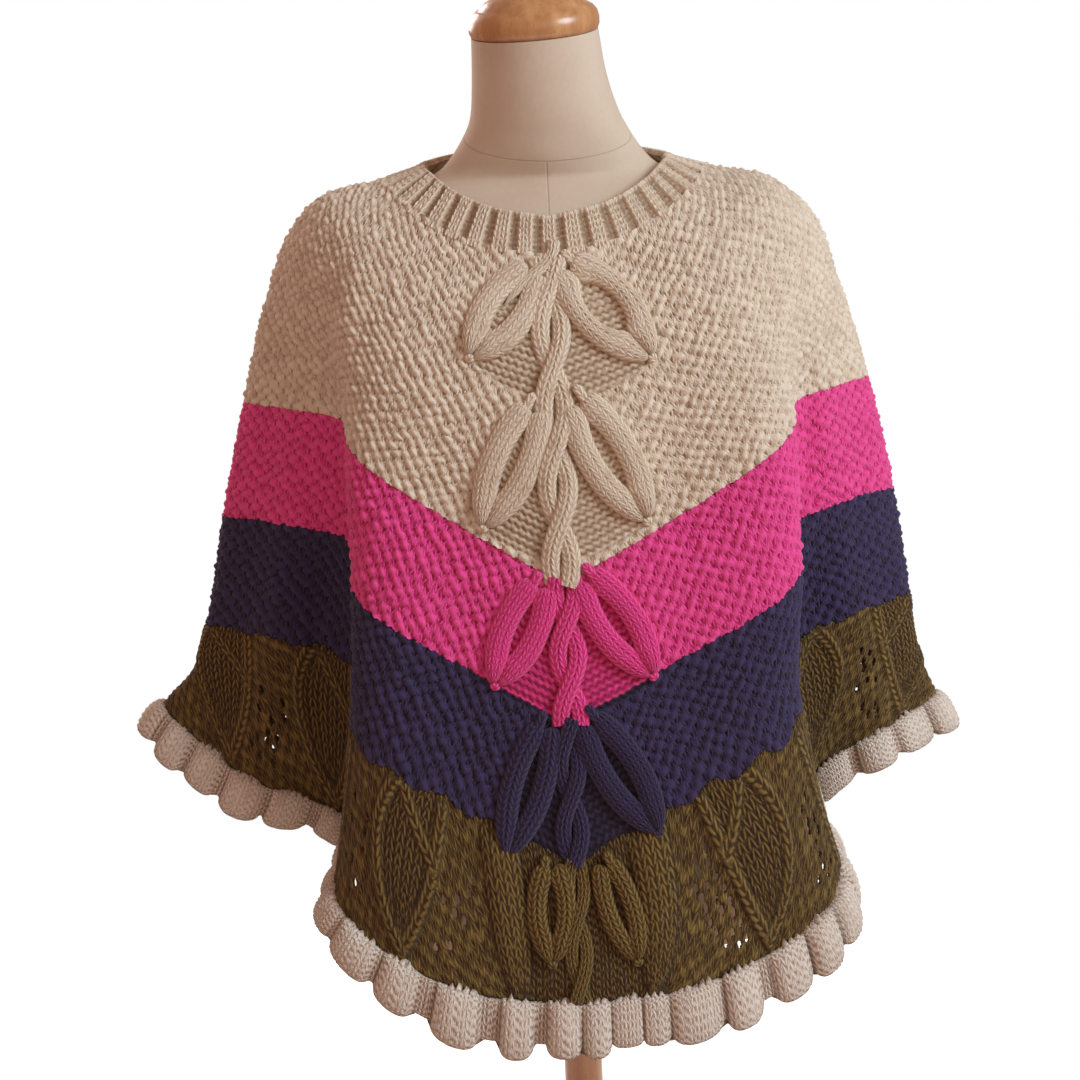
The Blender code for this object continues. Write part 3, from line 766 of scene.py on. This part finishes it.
def addNeckband(side, middle):
    tall, wide = neckband[side]
    rows = np.linspace(seamGap / 2, levels["band"] - seamGap / 2, tall)
    u, v = np.meshgrid(columnsOf(middle, levels["band"], wide - 1), rows)
    rib = np.linspace(-1, 1, wide) * neckband["ribsAHalf"] / 2 + 0.035 * ripple(u * 9, v / 9)
    nearest = np.round(rib)
    x = rib - nearest
    knitted = 1 - smooth(np.abs(x), neckband["ribShare"] - 0.05, neckband["ribShare"] + 0.06)
    wale = x / neckband["ribShare"] + 0.5 + nearest * 2  # two columns to a rib
    row = v / knit["rowTall"] * 1.1
    crown = neckband["ribHigh"] * knitted * (0.85 + 0.4 * plainRelief(wale, row, 1.0))
    valley = (1 - knitted) * (0.3 * np.cos(2 * math.pi * (row * 1.3 + 0.3 * nearest)) + neckband["valley"])
    lift = crown + valley - 0.3
    # each rib ends a little lower or higher
    v = v + neckband["ribReach"] * knitted * hashed(nearest, middle, 6.0) * np.exp((v - levels["band"]) / 4)
    # the cast-on edge stands up as a thin rounded bead
    bead = np.exp(-(((v - 1.8) / 1.7) ** 2)) * (1.3 + 0.4 * np.cos(8 * math.pi * rib))
    lift = lift * smooth(v, 1, 6) + bead
    roll = np.sqrt(np.clip(1 - (1 - v / neckband["edgeRound"]) ** 2, 0, 1))
    lift = np.where(v < neckband["edgeRound"], lift * roll - 2.2 * (1 - roll), lift)
    onRib = knitted > 0.5
    drawnWale = np.where(onRib, wale, np.floor(wale) + 0.5)
    drawnRow = np.where(onRib, row, np.floor(row * 2) / 2 + 0.99)
    # the height for the wool's painted shade follows the ribs: valleys painted dark, rib crowns painted light
    stitch = drawnWale, drawnRow, lift * 0.75
    addKnit(f"neckband_{side}", "cream", u, v, lift, -neckband["wall"], stitch)


for side, middle in halves:
    addNeckband(side, middle)
print("knitted: neckband")

# ---- strands: knitted ropes that lie on the front

strand = {
    "around": 36,
    "step": 1.1,  # mm along a strand
    "stitchLong": 5.6,
    "chainDeep": 0.9,
    "legDeep": 1.3,
    "buried": 1.6,  # how far its underside lies in the cloth
}


def strandRelief(chain, row):
    # chains of V stitches, a groove between each two
    column = np.sqrt(np.clip(1 - 3.6 * (chain - np.round(chain)) ** 2, 0, 1))
    return strand["chainDeep"] * (column - 0.8) + strand["legDeep"] * (knitLegs(chain, row) - 0.6)


def layStrand(path, half, tall, lift, chains, phase=0.0):
    # path is x and z in mm on the front; half width, height and lift are given along it
    path = np.array(path, float)
    along = alongLine(path)
    count = max(8, int(along[-1] / strand["step"]))
    at = np.linspace(0, along[-1], count)
    x, z = (np.interp(at, along, path[:, k]) for k in (0, 1))
    sizes = (np.interp(at, along, np.broadcast_to(a, len(path))) for a in (half, tall, lift))
    half, tall, lift = (a[:, None] for a in sizes)
    slopeX, slopeZ = np.gradient(x), np.gradient(z)
    size = np.hypot(slopeX, slopeZ)
    psi = np.linspace(0, 2 * math.pi, strand["around"], endpoint=False)
    c, s = np.cos(psi), np.sin(psi)
    chain, row = np.meshgrid((c + 1) / 2 * chains - 0.5, at / strand["stitchLong"] + phase)
    relief = strandRelief(chain, row) * smooth(s, -0.1, 0.5) * np.minimum(1, half / 6)
    rounded = np.where(s > 0, np.abs(s) ** 0.8 * (tall + relief), s * strand["buried"])
    px = x[:, None] - (slopeZ / size)[:, None] * half * c
    pz = z[:, None] + (slopeX / size)[:, None] * half * c
    points = lifted(*onFront(px.ravel(), pz.ravel()), (lift + rounded).ravel())
    # height for painted shade: grooves painted dark, and the rope's upper side painted lighter
    stitch = np.stack((chain, row, relief + 0.25 + 0.3 * np.maximum(s, 0)), axis=2).reshape(-1, 3)
    around = strand["around"]
    return points, gridFaces(count, around, closedWide=True, flip=True), endCaps(count, around), stitch


def addStrands(node, ending, slot, strands):
    points, sides, ends, stitches = zip(*strands)
    first = np.cumsum([0] + [len(part) for part in points[:-1]])
    groups = [np.concatenate([faces + start for faces, start in zip(kind, first)]) for kind in (sides, ends)]
    addPiece(node, ending, slot, np.concatenate(points), groups, np.concatenate(stitches), 80)


# ---- centre stem, two strands that cross over

stem = {
    "half": 7.6,
    "tall": 5.4,
    "sway": 8.4,  # mm that a strand's middle moves to each side
    "over": 2.4,
    "chains": 2,
    # columns: top and bottom height, middle, mm from crossing to crossing, first crossing, size
    "lengths": {
        "cream": (767, 513, -2.0, 60, 0.067, 1.0),
        "pink": (520, 405, 0.5, 50, 0.80, 0.94),
        "navy": (410, 296, -2.0, 52, 0.30, 0.86),
        "olive": (300, 189, -1.0, 52, 0.60, 0.72),
    },
}
for yarn, (top, bottom, middle, period, first, share) in stem["lengths"].items():
    z = np.linspace(top, bottom, 80)
    strands = []
    for turn in (0, 1):
        phi = math.pi * ((top - z) / period + first + turn)
        path = np.column_stack((middle + stem["sway"] * share * np.cos(phi), z))
        lift = 0.8 + stem["over"] * np.sin(phi)
        half, tall = stem["half"] * share, stem["tall"] * share
        strands.append(layStrand(path, half, tall, lift, stem["chains"], turn * 0.5))
    addStrands("stem_" + yarn, "rope", yarn + "_wool", strands)
print("knitted: stem")

# ---- leaves, two arms round a sunken slit, and a short strand that starts the slit

leafCable = {
    "tall": 7.2,
    "chainFrom": 8.0,  # mm of the leaf's half width to each chain of its arms
    "samples": 60,
    "rootShape": (2.5, 0.45, 0.78),  # how full the leaf is towards each end
    "tipShape": (2.0, 0.62, 0.998),
    "slitMiddle": 0.46,
    "slitReach": 0.31,
    "press": 1.2,  # mm that the arms press together where there is no slit
    # the neckband's middle rib runs on into the upper left leaf: x, z, half width and height
    "ribEnd": (
        (3.6, 779, 5.2, 4.2),
        (2.4, 770, 5.4, 5),
        (-3.5, 761, 5.4, 5.4),
        (-12, 754.5, 5.0, 5),
        (-21, 748, 4.4, 4),
        (-29, 740, 3.2, 3),
        (-37, 731, 0.6, 0.5),
    ),
}


def roundEnds(t, first, last):
    start, finish = (np.clip(1 - (1 - np.minimum(a, 1)) ** 2, 0.05, 1) for a in (t / first, (1 - t) / last))
    return np.sqrt(start * finish)


def leafStrands(rootX, rootZ, tipX, tipZ, half, slitHalf, short=True):
    root, tip = np.array((rootX, rootZ), float), np.array((tipX, tipZ), float)
    length = np.linalg.norm(tip - root)
    along = (tip - root) / length
    aside = np.array((-along[1], along[0]))

    def place(forward, out):  # mm along the leaf from its root, and mm aside
        return root + along * forward[:, None] + aside * out[:, None]

    t = np.linspace(0, 1, leafCable["samples"])
    shapes = (np.array(leafCable[key])[:, None] for key in ("rootShape", "tipShape"))
    square, full, cut = np.where(t < 0.5, *shapes)
    outer = half * (1 - cut * np.abs(2 * t - 1) ** square) ** full
    inSlit = (t - leafCable["slitMiddle"]) / leafCable["slitReach"]
    slit = slitHalf * np.clip(1 - inSlit**2, 0, 1) ** 0.8
    ends = roundEnds(t, 0.05, 0.01)
    armHalf = (outer - slit) / 2 + leafCable["press"]
    tall = leafCable["tall"] * np.sqrt(np.clip(armHalf / 9, 0, 1)) * ends
    chains = round(half / leafCable["chainFrom"])
    upper = 1 if tipX > 0 else -1
    strands = []
    for side in (upper, -upper):
        path = place(length * t, side * (outer + slit) / 2)
        lift = 0.3 + (1.8 * smooth(t, 0.72, 0.95) if side == upper else 0.6 * (1 - smooth(t, 0, 0.25)))
        strands.append(layStrand(path, armHalf * ends, tall, lift, chains, 0.3 * side))
    if short:  # a narrow strand comes down from the stem, over the root, to the top of the slit
        s = np.linspace(0, 1, 24)
        ends = roundEnds(s, 0.1, 0.3)
        path = place(length * (0.40 * s - 0.10), upper * half * (0.22 + 0.14 * s))
        strands.append(layStrand(path, 4.0 * ends, 4.6 * ends, 3.4 - 4.4 * s, 1, 0.1))
    # a round purl stitch holds the tip down
    knot = np.linspace(-1, 1, 12)
    swell = 4.4 * np.sqrt(np.clip(1 - knot**2, 0.03, 1))
    strands.append(layStrand(place(length + 2.4 + 4.0 * knot, 0.5 * knot), swell, swell, 0.2, 1))
    return strands


for name, facts in leaves.items():
    underNeck = name == "leaf_cream_upper_left"
    strands = leafStrands(*facts, short=not underNeck)
    if underNeck:
        x, z, half, tall = np.array(leafCable["ribEnd"]).T
        strands.append(layStrand(np.column_stack((x, z)), half, tall, 2.2, 2, 0.4))
    addStrands(name, "cable", name.split("_")[1] + "_wool", strands)
print("knitted:", len(leaves), "leaves")

# ---- olive lace: leaves between ridges of chain stitch, and open mesh beside them

lace = {
    "front": (53, 601),
    "back": (33, 361),
    "repeat": 96.0,  # mm from leaf to leaf
    "leaves": 5,
    "leafColumns": 3.0,
    "leafHigh": 2.2,
    "chainWide": 10.0,
    "chainLong": 5.8,
    "ridgeHigh": 2.4,
    "stitchWide": 5.8,
    "stitchTall": 5.4,
    "meshLean": 28.0,  # degrees that the mesh stitches lean
    "rollHalf": 16.0,  # the plump fold on each side of the centre leaves
    "rollHigh": 6.5,
    "centreHalf": 46.0,
    "wall": 3.2,
    "hole": (1.9, 2.6),  # half width and half height of an eyelet, mm
    "holeGap": (9.5, 6.8),
    "holeRows": (495, 547),
}
# chain ridges of the first leaf, mm from the centre and row: top, middle and foot
laceRidges = {
    "inner": ((112, 470), (127, 512), (151, 551)),
    "branch": ((147, 470), (138, 486), (123, 501)),
    "outer": ((152, 470), (176, 511), (151, 551)),
}


def bentLine(ends):
    top, middle, foot = np.array(ends, float)
    bend = 2 * middle - (top + foot) / 2
    t = np.linspace(0, 1, 25)[:, None]
    return (1 - t) ** 2 * top + 2 * t * (1 - t) * bend + t**2 * foot


ridgeLines = {name: bentLine(ends) for name, ends in laceRidges.items()}


def besideLine(run, v, line):
    # distance from a bent line, and length along it, mm
    step = np.diff(line, axis=0)
    length = np.linalg.norm(step, axis=1)
    start = alongLine(line)[:-1]
    off, at = np.full(run.shape, 99.0), np.zeros(run.shape)
    close = (run > line[:, 0].min() - 9) & (run < line[:, 0].max() + 9)
    x, y = run[close][:, None] - line[:-1, 0], v[close][:, None] - line[:-1, 1]
    part = np.clip((x * step[:, 0] + y * step[:, 1]) / length**2, 0, 1)
    gap = np.hypot(x - part * step[:, 0], y - part * step[:, 1])
    nearest = gap.argmin(axis=1)
    k = np.arange(len(nearest))
    turn = step[nearest, 0] * y[k, nearest] - step[nearest, 1] * x[k, nearest]
    off[close] = gap[k, nearest] * np.sign(turn)
    at[close] = start[nearest] + part[k, nearest] * length[nearest]
    return off, at


def laceRelief(run, v):
    part = np.clip((v - levels["olive"]) / (levels["ruffle"] - levels["olive"]), 0, 1)
    away = np.abs(run)
    # mesh of small purl stitches that lean outwards
    lean = math.radians(lace["meshLean"])
    wide, tall = lace["stitchWide"], lace["stitchTall"]
    across = (away * math.cos(lean) + (v - 500) * math.sin(lean)) / wide
    down = (-away * math.sin(lean) + (v - 500) * math.cos(lean)) / tall
    fine, across, down = mossRelief(across + 0.3 * ripple(across, down, 2), down, 2.0)
    made = [0.5 * fine - 0.6, across, down, 0.55 * fine - 0.5]  # lift, stitch, row and height for the painted shade

    def work(where, *values):
        made[:] = [np.where(where, new, old) for new, old in zip(values, made)]

    # leaves, whose stitch columns close towards the foot
    local = away - lace["repeat"] * np.clip(np.round((away - 140) / lace["repeat"]), 0, lace["leaves"] - 1)
    inner, outer = (np.interp(v, ridgeLines[k][:, 1], ridgeLines[k][:, 0]) for k in ("inner", "outer"))
    x = (2 * local - inner - outer) / np.maximum(outer - inner, 2)
    wale, row = x * lace["leafColumns"], v / tall + 0.25 * np.abs(x)
    fine = plainRelief(wale, row, 3.0)
    swell = lace["leafHigh"] * np.sqrt(np.clip(1 - x**2, 0, 1)) - 0.5
    work((np.abs(x) < 1) & (part < 0.93), 0.6 * fine + swell, wale, row, fine - 0.25)
    # the plump fold beside the centre leaves closes to a point at its foot
    rollHalf = lace["rollHalf"] * np.sqrt(1 - part**2.5) + 1.5
    x = (away - 64 + 12 * part**1.5) / rollHalf
    roll = np.clip(1 - x**2, 0, 1) ** 0.6 * smooth(part, 0, 0.15) * (1 - 0.6 * part**3)
    wale, row = np.where(np.abs(x) < 1, 2 * x, run / wide), v / tall
    fine = plainRelief(wale, row, 5.0)
    centre = (away < lace["centreHalf"]) | (np.abs(x) < 1)
    # the plump fold is painted lighter where it bulges
    work(centre, 0.6 * fine + lace["rollHigh"] * roll - 0.3, wale, row, fine + 0.7 * roll - 0.3)
    # ridges of chain stitch
    for number in range(lace["leaves"]):
        for line in ridgeLines.values():
            off, at = besideLine(away - number * lace["repeat"], v, line)
            wale, row = off / lace["chainWide"], at / lace["chainLong"]
            on = np.exp(-((2.0 * wale) ** 6)) * smooth(part, -0.01, 0.03) * (1.0 if number == 0 else 0.75)
            legs = knitLegs(wale, row)
            ridge = lace["ridgeHigh"] * np.sqrt(np.clip(1 - 3 * wale**2, 0, 1)) + 1.3 * legs
            made[0] = made[0] * (1 - on) + on * ridge
            # ridge legs painted light, the gaps between them painted dark
            made[3] = made[3] * (1 - on) + on * (1.9 * legs - 0.7)
            made[1:3] = np.where(on > 0.5, (wale, row), made[1:3])
    return made


def eyelets(atBack):
    # places of the holes, mm from the centre and row: slanting lines of them beside each leaf
    found = []
    line = ridgeLines["inner"]
    wideGap, tallGap = lace["holeGap"]
    first, last = lace["holeRows"]
    for side in (-1, 1):
        for number in range(lace["leaves"]):
            keep = 0.95 if side > 0 and number == 0 and not atBack else 0.45
            for j in range(3):
                for i in range(9):
                    place = i + 9 * number
                    row = first + i * tallGap + 3 * j + 3 * (hashed(place, j, side + 3) - 0.5)
                    run = np.interp(row, line[:, 1], line[:, 0]) + number * lace["repeat"]
                    run = run - 14 - j * wideGap + 4 * (hashed(j, place, side + 7) - 0.5)
                    if row < last and hashed(i * 3 + j, number * 5, side) < keep:
                        found.append((side * run, row))
    return found


def addLace(side, middle):
    tall, wide = lace[side]
    u, v, run, _ = panelGrid(middle, "olive", "ruffle", tall, wide)
    lift, *stitch = laceRelief(run, v)
    halfWide, halfTall = lace["hole"]
    gone = np.zeros((tall - 1, wide - 1), bool)
    cells = [(a[:-1, :-1] + a[1:, 1:] + a[1:, :-1] + a[:-1, 1:]) / 4 for a in (run, v)]
    pushU, pushV = u.copy(), v.copy()
    for holeRun, holeRow in eyelets(side == "back"):
        hole = ((cells[0] - holeRun) / halfWide) ** 2 + ((cells[1] - holeRow) / halfTall) ** 2 < 1
        hole[0], hole[-1], hole[:, 0], hole[:, -1] = False, False, False, False
        if not hole.any():
            continue
        gone |= hole
        rim = np.zeros((tall, wide), bool)  # corners of the open cells are drawn out to a round
        for corner in (np.s_[:-1, :-1], np.s_[1:, :-1], np.s_[:-1, 1:], np.s_[1:, 1:]):
            rim[corner] |= hole
        j, i = np.nonzero(rim)
        ex, ey = (run[j, i] - holeRun) / halfWide, (v[j, i] - holeRow) / halfTall
        far = np.maximum(np.hypot(ex, ey), 0.2)
        after = np.minimum(i + 1, wide - 1)
        perStation = (run[j, after] - run[j, i - 1]) / (u[j, after] - u[j, i - 1])
        edge = far > 0.75
        pushU[j[edge], i[edge]] += ((ex / far - ex) * halfWide / perStation)[edge]
        pushV[j[edge], i[edge]] += ((ey / far - ey) * halfTall)[edge]
        away = np.hypot((run - holeRun) / halfWide, (v - holeRow) / halfTall)
        lift = lift - 0.7 * np.exp(-(((away - 1) / 0.9) ** 2))
    points = lifted(pushU, pushV, lift)
    used, compact = np.unique(gridFaces(tall, wide)[~gone.ravel()], return_inverse=True)
    stitch = np.stack(stitch, axis=2).reshape(-1, 3)[used]
    node = f"olive_lace_{side}"
    piece = addPiece(node, "knit", "olive_wool", points[used], [compact.reshape(-1, 4)], stitch)
    bpy.ops.object.select_all(action="DESELECT")
    bpy.context.view_layer.objects.active = piece
    piece.select_set(True)
    cloth = piece.modifiers.new("wall", "SOLIDIFY")
    cloth.thickness, cloth.offset = lace["wall"] * mm, -1
    bpy.ops.object.modifier_apply(modifier=cloth.name)
    print("knitted: lace", side, "open cells", gone.sum())


for side, middle in halves:
    addLace(side, middle)

# ---- ruffle: a strip that puffs out into lobes, knit side out, with sunken gathers between them

ruffle = {
    "front": (657, 41),
    "back": (425, 29),
    # least and most of what the table of lobes leaves out: gap, width, puff, mm, and drop in rows
    "between": ((2.0, 9.0), (24.0, 37.0), (8.0, 12.0), (31.0, 36.0)),
    "sunk": 3.0,
    "sunkDrop": 26.0,
    "columnWide": 5.8,
    "rows": 8.0,
    "wall": 4.0,
    "bite": 6.0,
}
# lobes across the lower front, columns: start and end, mm from the centre, puff, drop in rows
lobes = (
    (-250, -213, 9, 34),
    (-210, -171, 12, 35),
    (-166, -134, 12, 35),
    (-120, -83, 13, 36),
    (-68, -41, 13, 37),
    (-32, -5, 12, 35),
    (-4, 18, 10, 35),
    (18, 42, 7, 30),
    (42, 62, 7, 31),
    (64, 104, 9, 34),
    (107, 137, 13, 37),
    (148, 180, 11, 36),
    (182, 211, 12, 36),
    (213, 242, 11, 35),
    (244, 272, 10, 34),
)


def allLobes(known, left, right):
    # uneven lobes carry the table's on to both ends
    made = list(known)
    for side, limit in ((-1, left), (1, right)):
        at = 0.0 if not known else known[0][0] if side < 0 else known[-1][1]
        number = 0
        while side * (limit - at) > 12:
            gap, wide, puff, drop = (
                low + (high - low) * hashed(number, column, side + len(known))
                for column, (low, high) in enumerate(ruffle["between"])
            )
            start = at + side * gap
            end = start + side * wide
            if side * (limit - end) < 14:
                end = limit
            made.append((min(start, end), max(start, end), puff, drop))
            at = end
            number += 1
    return np.array(sorted(made))


def addRuffle(side, middle):
    wide, tall = ruffle[side]
    columns = columnsOf(middle, levels["ruffle"], wide - 1)
    run = runOf(clothPoints(columns, np.full(wide, float(levels["ruffle"])))[None])[0]
    table = allLobes(lobes if side == "front" else (), run[0], run[-1])
    place = np.clip(np.searchsorted(table[:, 0], run, side="right") - 1, 0, len(table) - 1)
    start, end, puff, drop = table[place].T
    x = np.clip(2 * (run - start) / (end - start) - 1, -1, 1)
    body = (1 - np.abs(x) ** 2.2) ** 0.6
    depth = ruffle["sunk"] + (puff - ruffle["sunk"]) * body
    drop = ruffle["sunkDrop"] + (drop - ruffle["sunkDrop"]) * (1 - np.abs(x) ** 2.6) ** 0.5
    u, part = np.meshgrid(columns, np.linspace(0, 1, tall))
    wale = (run - (start + end) / 2) / ruffle["columnWide"]
    spike = np.exp(-(((wale - np.round(wale)) / 0.27) ** 2))
    spike = spike * (0.2 + 0.8 * hashed(np.round(wale), place, 4.0))
    turn = math.pi * part
    v = levels["ruffle"] + seamGap + drop * (0.5 - 0.5 * np.cos(turn**1.06 / math.pi**0.06))
    v = np.minimum(v - ruffle["bite"] * spike * body * np.exp(-part * 9), hemRow)
    rounded = np.sin(turn * (1 - 0.06 * part)) ** 0.55
    row, wales = part * ruffle["rows"], np.broadcast_to(wale, u.shape)
    relief = plainRelief(wales, row, 2.0)
    lift = 1.4 + rounded * depth + (0.3 + 0.7 * body) * relief * smooth(part, 0, 0.1)
    innerLift = np.minimum(lift - ruffle["wall"], 3.0) - 1.0
    # height for painted shade: sunken gathers between lobes painted dark, the lobes' middles painted light
    stitch = wales, row, 1.2 * relief + (body - 0.5) * 1.7 * rounded + 0.3
    addKnit(f"ruffle_{side}", "ruffle", u, v, lift, innerLift, stitch, hemRow - 4)


for side, middle in halves:
    addRuffle(side, middle)
print("knitted: ruffle")

# ---- dress form: linen over a padded body

form = {
    # columns: height, half width, front, back, sideways shift (mm) and tilt (degrees)
    "sections": (
        (200, 156, 86, 98, 0, 0),
        (207, 164, 92, 105, 0, 0),
        (265, 168, 98, 114, 0, 0),
        (335, 157, 97, 110, 0, 0),
        (405, 138, 90, 94, 0, 0),
        (475, 120, 84, 80, 0, 0),
        (535, 127, 97, 84, 0, 0),
        (595, 141, 121, 90, 0, 0),
        (640, 150, 134, 95, 0, 0),
        (685, 159, 127, 98, 0, 0),
        (735, 172, 110, 97, 0, 0),
        (770, 184, 95, 92, 0, 0),
        (793, 188, 83, 82, 0, 0),
        (803, 185, 77, 76, 0, 0),
        (812.5, 178, 70, 69, 1, 0),
        (819.8, 164, 64, 64, 1, 0),
        (825.3, 147, 60, 60, 2, 1),
        (830.6, 127, 57, 57, 2, 2),
        (836.3, 105, 56, 53, 2, 3),
        (843, 89, 59, 48, 2, 4),
        (854, 78, 64, 43, 2, 5),
        (871, 67, 68, 41, 2, 7),
        (887, 60, 72, 36, 1, 9),
        (915, 54.6, 76, 30, -2, 11),
        (949, 51.5, 79, 24, -4, 12.5),
    ),
    "points": 96,
    "between": 4,  # sections added between two of the table's
    "chestSquare": 2.2,
    "shoulderSquare": 1.75,
    "neckSquare": 2.0,
    "shoulderFrom": 800,
    "neckFrom": 865,
    "neckLean": 2.6,
}


def smoothTable(rows, between):
    # rows of a table with smooth ones added between them
    table = np.array(rows, float)
    slopes = np.gradient(table, axis=0)
    finer = np.linspace(0, len(table) - 1, (len(table) - 1) * between + 1)
    k = np.clip(finer.astype(int), 0, len(table) - 2)
    return hermite((finer - k)[:, None], table[k], slopes[k], table[k + 1], slopes[k + 1])


def addForm():
    rows = smoothTable(form["sections"], form["between"])
    count = form["points"]
    angle = 2 * math.pi * np.arange(count) / count
    c, s = np.cos(angle), np.sin(angle)
    sections = []
    for heightAt, half, front, rear, sideways, tilt in rows:
        blend = smooth(heightAt, form["shoulderFrom"] - 8, form["shoulderFrom"] + 8)
        power = form["chestSquare"] + (form["shoulderSquare"] - form["chestSquare"]) * blend
        blend = smooth(heightAt, form["neckFrom"] - 14, form["neckFrom"] + 8)
        power = power + (form["neckSquare"] - power) * blend
        upNeck = max(0, heightAt - form["neckFrom"]) / (form["sections"][-1][0] - form["neckFrom"])
        lean = upNeck * math.tan(math.radians(form["neckLean"]))
        x = half * np.sign(c) * np.abs(c) ** (2 / power)
        y = (rear + front) / 2 * np.sign(s) * np.abs(s) ** (2 / power)
        z = heightAt + math.tan(math.radians(tilt)) * y + lean * x
        sections.append(np.column_stack((sideways + x, (rear - front) / 2 + y, z)))
    groups = [gridFaces(len(rows), count, closedWide=True, flip=True), endCaps(len(rows), count)]
    piece = addPiece("torso", "linen", "linen", np.concatenate(sections) * mm, groups, sharp=60)


addForm()
print("dress form covered")

# ---- turned wood: neck cap, pole and base

wood = {
    # radius and height of each turned step, mm, bottom to top
    "cap": (
        *((50.6, 0), (51.6, 0.8), (53, 4), (53.2, 9.5), (52, 14.6), (49, 18.6), (45.5, 20.8)),
        *((43.6, 21.6), (42, 23.6), (38, 26.8), (31, 30.6), (22, 33.6), (12, 35.4), (4, 36)),
    ),
    "base": ((145, 0), (148, 2), (150, 7), (149, 12), (144, 16.5), (136, 18), (60, 18), (18, 18)),
    "segments": 96,
    "poleSegments": 64,
    "poleRadius": 16.0,
    "poleLow": 18.3,
    "poleHigh": 199.7,
    "turnedEdge": (0.4, 2, 35),  # width, mm, segments, and the degrees from which an edge is softened
    "poleEdge": (1.2, 3, 30),
    "sharp": 35,
}


def softenEdges(piece, width, segments, angle):
    bevel = piece.modifiers.new("soft edges", "BEVEL")
    bevel.width, bevel.segments, bevel.limit_method = width * mm, segments, "ANGLE"
    bevel.angle_limit = math.radians(angle)
    bpy.ops.object.modifier_apply(modifier=bevel.name)
    bpy.ops.object.shade_smooth_by_angle(angle=math.radians(wood["sharp"]))


def turnPiece(name, profile):
    # a disc, pulled up and scaled to each step of the profile
    bpy.ops.object.select_all(action="DESELECT")
    (first, low), *_ = profile
    bpy.ops.mesh.primitive_circle_add(
        vertices=wood["segments"], radius=first * mm, fill_type="NGON", location=(0, 0, low * mm)
    )
    piece = bpy.context.object
    piece.name = name
    bpy.ops.object.transform_apply(location=True, rotation=True, scale=True)
    bpy.ops.object.mode_set(mode="EDIT")
    bpy.ops.mesh.select_mode(type="FACE")
    bpy.ops.mesh.select_all(action="SELECT")
    for (radius, low), (nextRadius, high) in zip(profile, profile[1:]):
        if high > low:
            bpy.ops.mesh.extrude_region_move(TRANSFORM_OT_translate={"value": (0, 0, (high - low) * mm)})
            ratio = nextRadius / radius
            bpy.ops.transform.resize(value=(ratio, ratio, 1))
        else:
            bpy.ops.mesh.inset(thickness=(radius - nextRadius) * mm, depth=0)
    bpy.ops.mesh.select_all(action="SELECT")
    bpy.ops.mesh.normals_make_consistent(inside=False)
    bpy.ops.object.mode_set(mode="OBJECT")
    softenEdges(piece, *wood["turnedEdge"])
    return piece


def finishWood(piece, material, node):
    piece.data.materials.clear()
    piece.data.materials.append(material)
    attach(piece, "root")
    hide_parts(node)


cap = turnPiece("neck_cap_beech", wood["cap"])
topHeight, _, topFront, topBack, topSide, topTilt = form["sections"][-1]
cap.rotation_euler = (math.radians(topTilt), -math.radians(form["neckLean"]), 0)
cap.location = (topSide * mm, (topBack - topFront) / 2 * mm, (topHeight + seamGap) * mm)
bpy.ops.object.transform_apply(location=True, rotation=True, scale=True)
finishWood(cap, beechCap, "neck_cap")
finishWood(turnPiece("base_beech", wood["base"]), beechBase, "base")

bpy.ops.object.select_all(action="DESELECT")
bpy.ops.mesh.primitive_cylinder_add(
    vertices=wood["poleSegments"],
    radius=wood["poleRadius"] * mm,
    depth=(wood["poleHigh"] - wood["poleLow"]) * mm,
    location=(0, 0, (wood["poleHigh"] + wood["poleLow"]) / 2 * mm),
)
pole = bpy.context.object
pole.name = "pole_beech"
bpy.ops.object.transform_apply(location=True, rotation=True, scale=True)
softenEdges(pole, *wood["poleEdge"])
finishWood(pole, beechCap, "pole")
print("stand turned")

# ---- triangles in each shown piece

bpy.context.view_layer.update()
triangles = {piece.name: len(piece.data.loops) - 2 * len(piece.data.polygons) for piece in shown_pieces()}
most = max(triangles.values())
print("pieces:", len(triangles), "triangles:", sum(triangles.values()), "most in one:", most)
